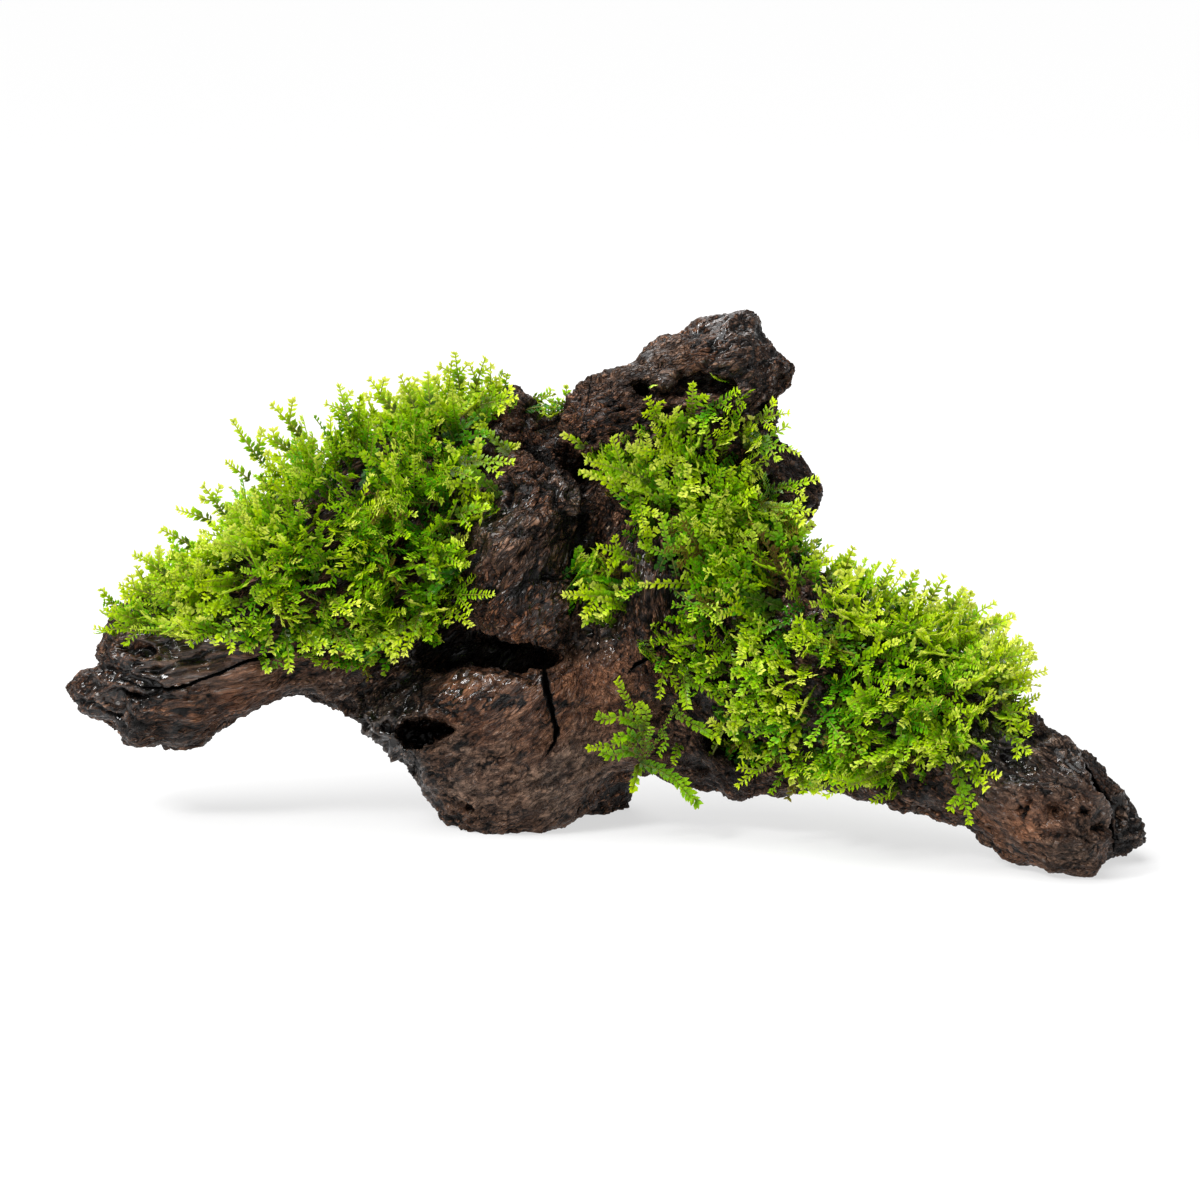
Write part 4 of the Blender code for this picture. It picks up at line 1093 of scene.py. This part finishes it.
def frondTree():
    # leaves in two ranks along every path, a tuft of leaves at its tip, and a thin three-sided stem
    group, given = openGroup("mossFronds", [("leaf", "NodeSocketObject", None),
                                            ("material", "NodeSocketMaterial", None),
                                            *[(name, "NodeSocketFloat", moss[name]) for name in frondSizes],
                                            ("seed", "NodeSocketInt", moss["seed"])])
    curves = make(group, "GeometryNodeMeshToCurve", None, {"Mesh": given["Geometry"]})
    rows = make(group, "GeometryNodeResampleCurve", {"mode": "LENGTH"},
                {"Curve": curves, "Length": given["leafSpacing"]})
    leaf = make(group, "GeometryNodeObjectInfo", None, {"Object": given["leaf"]}, output=4)
    tangent = make(group, "GeometryNodeInputTangent")
    facing = readValue(group, "facing", "FLOAT_VECTOR")
    size = readValue(group, "size")
    broad = readValue(group, "broad")
    side = vectorMaths(group, "NORMALIZE", vectorMaths(group, "CROSS_PRODUCT", facing, tangent))
    above = vectorMaths(group, "CROSS_PRODUCT", tangent, side)
    ends = make(group, "GeometryNodeCurveEndpointSelection", None, {"Start Size": 0, "End Size": 1})
    parts = []
    # turn off the stem (in shares of leafAngle), lift, size, only at tips, seed
    ranks = [(1.0, 0.22, 1.0, False, 1), (-1.0, 0.22, 1.0, False, 2), (0.0, 0.15, 0.85, True, 3),
             (0.55, 0.45, 0.85, True, 4), (-0.55, 0.45, 0.85, True, 5)]
    for turn, lift, share, tip, seed in ranks:
        wander = random01(group, -0.30, 0.30, given["seed"] + float(seed))
        slide = random01(group, -0.42, 0.42, given["seed"] + float(seed + 30)) * given["leafSpacing"]
        feet = make(group, "GeometryNodeSetPosition", None,
                    {"Geometry": rows, "Offset": scaled(group, tangent, slide)})
        angle = given["leafAngle"] * (math.radians(1.0) * turn) + wander
        ahead = scaled(group, tangent, angle.maths("COSINE"))
        aside = scaled(group, side, angle.maths("SINE"))
        raised = random01(group, lift - 0.2, lift + 0.2, given["seed"] + float(seed + 10))
        out = shifted(group, shifted(group, ahead, aside), scaled(group, above, raised))
        turned = make(group, "FunctionNodeAxesToRotation", {"primary_axis": "X", "secondary_axis": "Z"},
                      {0: out, 1: above})
        grown = size * random01(group, 0.72, 1.20, given["seed"] + float(seed + 20)) * share
        scale = make(group, "ShaderNodeCombineXYZ", None, {0: grown, 1: grown * broad, 2: grown})
        parts.append(make(group, "GeometryNodeInstanceOnPoints", None,
                          {"Points": rows if tip else feet, "Instance": leaf, "Rotation": turned,
                           "Scale": scale, "Selection": ends if tip else None}))
    stem = make(group, "GeometryNodeResampleCurve", {"mode": "LENGTH"},
                {"Curve": curves, "Length": given["stemSpacing"]})
    ring = make(group, "GeometryNodeCurvePrimitiveCircle", {"mode": "RADIUS"},
                {"Resolution": 3, "Radius": 1.0})
    ring = stored(group, ring, "around", make(group, "GeometryNodeInputIndex") * 0.5)
    tube = make(group, "GeometryNodeCurveToMesh", None,
                {"Curve": stem, "Profile Curve": ring, "Fill Caps": True,
                 "Scale": size * given["stemRadius"]})
    tube = stored(group, tube, "stem", 1.0)
    gathered = make(group, "GeometryNodeJoinGeometry")
    for part in [tube, *parts]:
        join(group, part, gathered.socket.node.inputs[0])
    solid = make(group, "GeometryNodeRealizeInstances", None, {0: gathered})
    along = readValue(group, "along")
    across = readValue(group, "across")
    around = readValue(group, "around")
    isStem = readValue(group, "stem")
    # across the map runs the age of the moss with painted shade towards the feet, up it the hue of each
    # frond; stems have a strip of their own
    bulge = 1.0 - abs(around * 2.0 - 1.0)
    mapU = readValue(group, "shade") * 0.80 + along * 0.14 + bulge * isStem * 0.03 + 0.02
    leafV = readValue(group, "tint") * 0.76 + across * 0.015 + 0.20
    stemV = around * 0.08 + 0.03
    mapV = leafV * (1.0 - isStem) + stemV * isStem
    mapping = make(group, "ShaderNodeCombineXYZ", None,
                   {0: mapU.clamp(0.005, 0.995), 1: mapV.clamp(0.005, 0.995)})
    solid = stored(group, solid, "OFBake", mapping, "FLOAT2", "CORNER")
    solid = make(group, "GeometryNodeSetMaterial", None, {"Geometry": solid, "Material": given["material"]})
    return closeGroup(group, solid)


class Patch:
    # the paths of one piece's fronds, with what each point of them carries
    def __init__(self, name, node):
        self.name = name
        self.node = node
        self.points = []
        self.edges = []
        self.carried = {"facing": [], "shade": [], "tint": [], "size": [], "broad": []}

    def addPath(self, points, facing, shades, tint, sizes, broad):
        first = len(self.points)
        self.points += points
        self.edges += [(first + number, first + number + 1) for number in range(len(points) - 1)]
        self.carried["facing"] += [facing] * len(points)
        self.carried["shade"] += shades
        self.carried["tint"] += [tint] * len(points)
        self.carried["size"] += sizes
        self.carried["broad"] += [broad] * len(points)

    def build(self, group, leaf, material):
        mesh = bpy.data.meshes.new(self.name)
        mesh.from_pydata([tuple(point) for point in self.points], self.edges, [])
        item = newObject(self.name, mesh)
        for name, values in self.carried.items():
            storePoints(mesh, name, [tuple(value) for value in values] if name == "facing" else values)
        inputs = {name: moss[name] for name in (*frondSizes, "seed")}
        runNodes(item, group, {"leaf": leaf, "material": material, **inputs})
        for name in (*self.carried, "along", "across", "around", "stem"):
            layer = item.data.attributes.get(name)
            if layer:
                item.data.attributes.remove(layer)
        return item


def randomUnit(draw):
    return Vector([draw.gauss(0.0, 1.0) for _ in range(3)]).normalized()


def square(facing, direction):
    # facing, turned square to a direction
    flat = facing - direction * facing.dot(direction)
    return flat.normalized() if flat.length > 1e-4 else direction.orthogonal().normalized()


def liftOff(surface, point, clearance):
    # the point, moved out of the wood where it has run into it
    hit, normal, _, _ = surface.find_nearest(point)
    depth = (point - hit).dot(normal)
    return point + normal * (clearance - depth) if depth < clearance else point


def growFrond(patch, draw, root, direction, length, facing, tone, tint, broad, branches=2, scale=1.0,
              surface=None, guarded=False):
    # a bent path with its side branches; shade runs from the dark foot to the pale tip
    count = max(4, int(length / moss["pathStep"]))
    bend = randomUnit(draw) * draw.uniform(*moss["bend"]) + Vector((0.0, 0.0, -moss["droop"]))
    heading = direction.normalized()
    points = [root.copy()]
    headings = [heading.copy()]
    for number in range(count):
        heading = (heading + bend / count).normalized()
        following = points[-1] + heading * (length / count)
        points.append(liftOff(surface, following, moss["clearance"]) if surface else following)
        headings.append(heading.copy())
    facing = square(facing, direction.normalized())
    shares = [number / count for number in range(count + 1)]
    shades = [min(1.0, tone * (0.08 + 0.92 * share ** 1.15)) for share in shares]
    sizes = [scale * (0.72 + 0.28 * math.sin(math.pi * min(1.0, 0.25 + 0.8 * share))) for share in shares]
    patch.addPath(points, facing, shades, tint, sizes, broad)
    for branch in range(branches):
        start = int(count * draw.uniform(*moss["twigFrom"]))
        share = shares[start]
        hand = 1.0 if branch % 2 else -1.0
        aside = facing.cross(headings[start]).normalized() * hand
        angle = math.radians(moss["branchAngle"] + draw.uniform(-moss["twigTurn"], moss["twigTurn"]))
        way = headings[start] * math.cos(angle) + aside * math.sin(angle) + facing * draw.uniform(-0.1, 0.3)
        reach = (1.0 - share) * length * draw.uniform(*moss["twigReach"])
        steps = max(2, int(reach / moss["twigStep"]))
        way.normalize()
        twig = [points[start] + way * (reach * number / steps) for number in range(steps + 1)]
        if guarded and isBare(twig[-1], moss["bareTip"]):
            continue
        if surface:
            twig = [liftOff(surface, point, moss["twigClearance"]) for point in twig]
        tones = [shades[start] + (tone * 0.95 - shades[start]) * number / steps
                 for number in range(steps + 1)]
        patch.addPath(twig, square(facing, way), tones, tint, [scale * moss["twigSize"]] * (steps + 1),
                      broad)


def toneAt(place):
    # how much paler or deeper the moss is here, from the list of places
    total = 0.0
    for (px, py), reach, amount in toneAndLightPlaces:
        centre = spot(px, py, 0.0)
        gap = math.hypot(place.x - centre.x, place.z - centre.z + 0.2 * (place.y - centre.y))
        total += amount * math.exp(-((gap / (reach * mm)) ** 2))
    return total


def rootPlaces(data, solids, draw):
    # feet of fronds: places on the wood with the cushion's solid just above them
    count = len(data.polygons)
    normals = np.empty(count * 3, np.float32)
    centres = np.empty(count * 3, np.float32)
    data.polygons.foreach_get("normal", normals)
    data.polygons.foreach_get("center", centres)
    normals = normals.reshape(-1, 3)
    centres = centres.reshape(-1, 3)
    order = list(range(count))
    draw.shuffle(order)
    taken = {}
    spacing = moss["rootSpacing"]
    found = []
    boxes = {name: boundsOf(name) for name in solids}
    for number in order:
        centre = Vector(centres[number].tolist())
        normal = Vector(normals[number].tolist())
        test = centre + normal * moss["probe"] * mm
        home = None
        for name, tree in solids.items():
            low, high = boxes[name]
            if all(low[axis] < test[axis] < high[axis] for axis in range(3)) and insideOf(tree, test):
                home = name
                break
        if not home:
            continue
        if isFront(centre, normal) and isBare(centre, 1.0):
            continue
        key = tuple(int(math.floor(value / spacing)) for value in centre)
        near = [place for dx in (-1, 0, 1) for dy in (-1, 0, 1) for dz in (-1, 0, 1)
                for place in taken.get((key[0] + dx, key[1] + dy, key[2] + dz), ())]
        if any((place - centre).length < spacing for place in near):
            continue
        taken.setdefault(key, []).append(centre)
        found.append((home, centre, normal))
    return found


def boundsOf(node):
    places = vertexArray(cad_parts[node].data)
    return places.min(axis=0), places.max(axis=0)


def insideOf(tree, place):
    hit, normal, _, _ = tree.find_nearest(place)
    return hit is not None and (place - hit).dot(normal) < 0.0


def patchFor(patches, home, place):
    # several pieces to a cushion, none of them too heavy
    number = sum(place.x > parting for parting in moss["partings"].get(home, ()))
    return patches.setdefault((home, number), Patch(home + "_" + "abcd"[number], home))


def isFront(place, normal):
    return normal.y < 0.75 or place.y < moss["backEdge"]


def isBare(place, share):
    # whether it shows within this share of a bare spot's reach
    px, py = pixelOf(place)
    return any(math.hypot(px - x, py - y) < reach * share for (x, y), reach in bareSpots)


def plantCushions(patches, woodData, surface, draw):
    # fronds from the wood towards the outer form of each cushion
    solids = {name: treeOf(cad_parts[name].data) for name in ("moss_left", "moss_right", "moss_rear")}
    middles = {name: Vector(vertexArray(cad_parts[name].data).mean(axis=0).tolist())
               for name in solids}
    field.seed_set(moss["seed"])      # or else the noise vectors differ from run to run
    roots = rootPlaces(woodData, solids, draw)
    stand = moss["stand"]
    for home, centre, normal in roots:
        outward = (centre - middles[home]).normalized()
        clump = field.noise(centre / moss["clumpSize"])
        way = (normal * stand["wood"] + outward * stand["outward"] + Vector((0.0, 0.0, stand["up"]))
               + randomUnit(draw) * stand["random"]
               + field.noise_vector(centre / moss["waveSize"]) * stand["wave"]).normalized()
        start = centre + normal * moss["rootLift"] * mm
        _, _, _, gap = solids[home].ray_cast(start, way)
        room = (gap or 2.0 * mm) + moss["rootLift"] * mm
        length = room * draw.uniform(*moss["reach"]) * (1.0 + 0.40 * clump)
        length = min(max(length, moss["shortest"]), moss["longest"])
        length = min(length, room * 1.06 + 0.8 * mm)
        if isFront(centre, normal) and isBare(centre + way * length, moss["bareTip"]):
            length = length * 0.6
            if isBare(centre + way * length, moss["bareTip"]):
                continue
        tip = centre + way * length
        tone = (moss["tone"] + toneAt(tip) + 0.55 * clump
                + draw.uniform(-moss["toneSpread"], moss["toneSpread"]))
        tint = (moss["tint"] + 0.55 * field.noise(tip / moss["tintSize"]) + 0.5 * (tone - 0.85)
                + draw.uniform(-moss["tintSpread"], moss["tintSpread"]))
        facing = normal * 0.8 + Vector((0.0, -0.50, 0.45)) + randomUnit(draw) * 0.45
        branches = 2 if length > 6.5 * mm else 1 if length > 4.8 * mm else 0
        growFrond(patchFor(patches, home, centre), draw, centre - normal * moss["rootSink"] * mm, way,
                  length, facing, min(1.15, max(0.20, tone)), min(1.0, max(0.0, tint)),
                  draw.uniform(0.62, 1.18), branches, surface=surface, guarded=True)
    print("moss:", len(roots), "fronds on the cushions")
    return solids


def plantClearFronds(patches, woodSurface, solids, draw):
    # the single fronds of the list, each from its foot's pixel to its tip's
    eye = eyePoint()
    for foot, top, lift, tone in clearFronds:
        home = "moss_left" if foot[0] < 550 else "moss_right"
        sight = sightLine(*foot).normalized()
        wooden, _, _, _ = woodSurface.ray_cast(eye, sight)
        cushion, _, _, _ = solids[home].ray_cast(eye, sight)
        # the foot stands inside the cushion, or on the wood where that comes first
        root = cushion + sight * 4.5 * mm if cushion else wooden
        if root is None:
            continue
        if wooden and (wooden - eye).length < (root - eye).length:
            root = wooden
        depth = (root.y - view["middle"][1]) / mm - lift
        behind, _, _, _ = woodSurface.ray_cast(eye, sightLine(*top).normalized())
        if behind:
            depth = min(depth, (behind.y - view["middle"][1]) / mm - 1.2)
        way = spot(*top, depth) - root
        towards = -aheadOf() + Vector((0.0, 0.0, 0.35)) + randomUnit(draw) * 0.25
        growFrond(patchFor(patches, home, root), draw, root, way, way.length, towards, tone + 0.12,
                  draw.uniform(0.45, 0.9), draw.uniform(0.58, 0.85),
                  0 if way.length < 6.0 * mm else 1 if draw.random() < 0.5 else 2, 1.1, woodSurface)


def plantSprig(patches, draw):
    # the stems of the loose sprig
    patch = patches.setdefault(("moss_sprig", 0), Patch("moss_sprig_a", "moss_sprig"))
    for pixels, (start, end), scale in sprigStems:
        count = len(pixels) - 1
        route = [spot(*pixel, start + (end - start) * number / count)
                 for number, pixel in enumerate(pixels)]
        fine = []
        for first, second in zip(route, route[1:]):
            steps = max(1, int((second - first).length / (1.2 * mm)))
            fine += [first.lerp(second, number / steps) for number in range(steps)]
        fine.append(route[-1])
        shares = [number / (len(fine) - 1) for number in range(len(fine))]
        patch.addPath(fine, (-aheadOf() + randomUnit(draw) * 0.35).normalized(),
                      [0.20 + draw.uniform(0.35, 0.6) * share for share in shares],
                      draw.uniform(0.35, 0.8), [scale * draw.uniform(0.8, 1.1) for _ in fine],
                      draw.uniform(0.75, 1.15))


def mossMaterial():
    material, tree, shader = newMaterial("mossLeaves", {
        "Roughness": 0.40, "Specular IOR Level": 0.14, "Coat Weight": 0.08, "Coat Roughness": 0.15,
        "Subsurface Weight": 0.35, "Subsurface Radius": (0.8, 1.0, 0.2), "Subsurface Scale": 0.0006})
    places = make(tree, "ShaderNodeUVMap", {"uv_map": "OFBake"})
    ageAndShade = make(tree, "ShaderNodeSeparateXYZ", None, {0: places})
    hue = ageAndShade.beside(1)
    yellow = make(tree, "ShaderNodeValToRGB", {"stops": moss["yellowRamp"]}, {0: ageAndShade})
    green = make(tree, "ShaderNodeValToRGB", {"stops": moss["greenRamp"]}, {0: ageAndShade})
    base = mixColour(tree, hue.step(0.30, 0.80), green, yellow)
    dry = mixColour(tree, ageAndShade, *moss["dryLeaf"])
    base = mixColour(tree, (1.0 - hue.step(0.205, 0.215)) * hue.step(0.12, 0.13), base, dry)
    stem = mixColour(tree, ageAndShade, *moss["stemColour"])
    base = mixColour(tree, 1.0 - hue.step(0.12, 0.13), base, stem)
    join(tree, base, shader.inputs["Base Color"])
    return material


def buildMoss(woodData):
    draw = random.Random(moss["seed"])
    surface = treeOf(woodData)
    patches = {}
    solids = plantCushions(patches, woodData, surface, draw)
    plantClearFronds(patches, surface, solids, draw)
    plantSprig(patches, draw)
    leaf = leafShape()
    group = frondTree()
    material = mossMaterial()
    total = 0
    for key in sorted(patches):
        piece = patches[key].build(group, leaf, material)
        piece.data.shade_flat()
        total += handOver(piece, patches[key].node)
    bpy.data.objects.remove(leaf)
    print("moss built,", total, "triangles")


# The stage

studio = {
    "floorSize": 12.0,
    "floorGrey": 0.35,
    "floorGlow": 0.63,
    "skyLight": 0.20,
    "sunPower": 2.7,
    "sunSpread": math.radians(55.0),
    "sunAim": (0.30, 0.12, -1.0),
    # name, place, width, power in watts
    "lamps": [("keySoftbox", (-0.45, -0.35, 0.60), 0.20, 4.0),
              ("backSoftbox", (-0.10, 0.60, 0.55), 0.45, 2.5)],
    "lampAim": (0.0, 0.0, 0.04),
}


def aimAlong(item, way):
    item.rotation_euler = Vector(way).to_track_quat("-Z", "Y").to_euler()


def buildStage():
    floorMesh = bmesh.new()
    bmesh.ops.create_grid(floorMesh, x_segments=2, y_segments=2, size=studio["floorSize"])
    floor = meshObject("floor", floorMesh)
    paper, _, _ = newMaterial("palePaper", {
        "Base Color": (*[studio["floorGrey"]] * 3, 1.0), "Roughness": 0.9, "Specular IOR Level": 0.1,
        "Emission Color": (1.0, 1.0, 1.0, 1.0), "Emission Strength": studio["floorGlow"]})
    floor.data.materials.append(paper)
    world = bpy.data.worlds.new("studio")
    bpy.context.scene.world = world
    world.use_nodes = True
    background = world.node_tree.nodes["Background"]
    background.inputs[0].default_value = (1.0, 1.0, 1.0, 1.0)
    background.inputs[1].default_value = studio["skyLight"]
    sun = bpy.data.lights.new("overhead", "SUN")
    sun.energy = studio["sunPower"]
    sun.angle = studio["sunSpread"]
    aimAlong(newObject("overhead", sun), studio["sunAim"])
    for name, place, width, power in studio["lamps"]:
        lamp = bpy.data.lights.new(name, "AREA")
        lamp.size = width
        lamp.energy = power
        item = newObject(name, lamp)
        item.location = place
        aimAlong(item, Vector(studio["lampAim"]) - Vector(place))


def buildCamera():
    data = bpy.data.cameras.new("camera")
    data.sensor_width = view["sensor"]
    data.lens = view["sensor"] * view["distance"] / (2 * view["frameCentre"] * view["pixel"])
    data.clip_start = 0.01
    data.clip_end = 20.0
    camera = newObject("camera", data)
    camera.location = eyePoint()
    camera.rotation_euler = (math.pi / 2 - view["elevation"], 0.0, 0.0)
    bpy.context.scene.camera = camera


buildCamera()
buildStage()
bpy.context.scene.view_settings.view_transform = "Standard"
woodPieces, uncutWood = buildWood()
woodFinish = woodMaterial()
for node, piece in woodPieces.items():
    piece.name = "wood_" + node
    piece.data.materials.clear()
    piece.data.materials.append(woodFinish)
    piece.data.shade_smooth()
    handOver(piece, node)
print("wood built")
buildMoss(uncutWood)
bpy.data.meshes.remove(uncutWood)
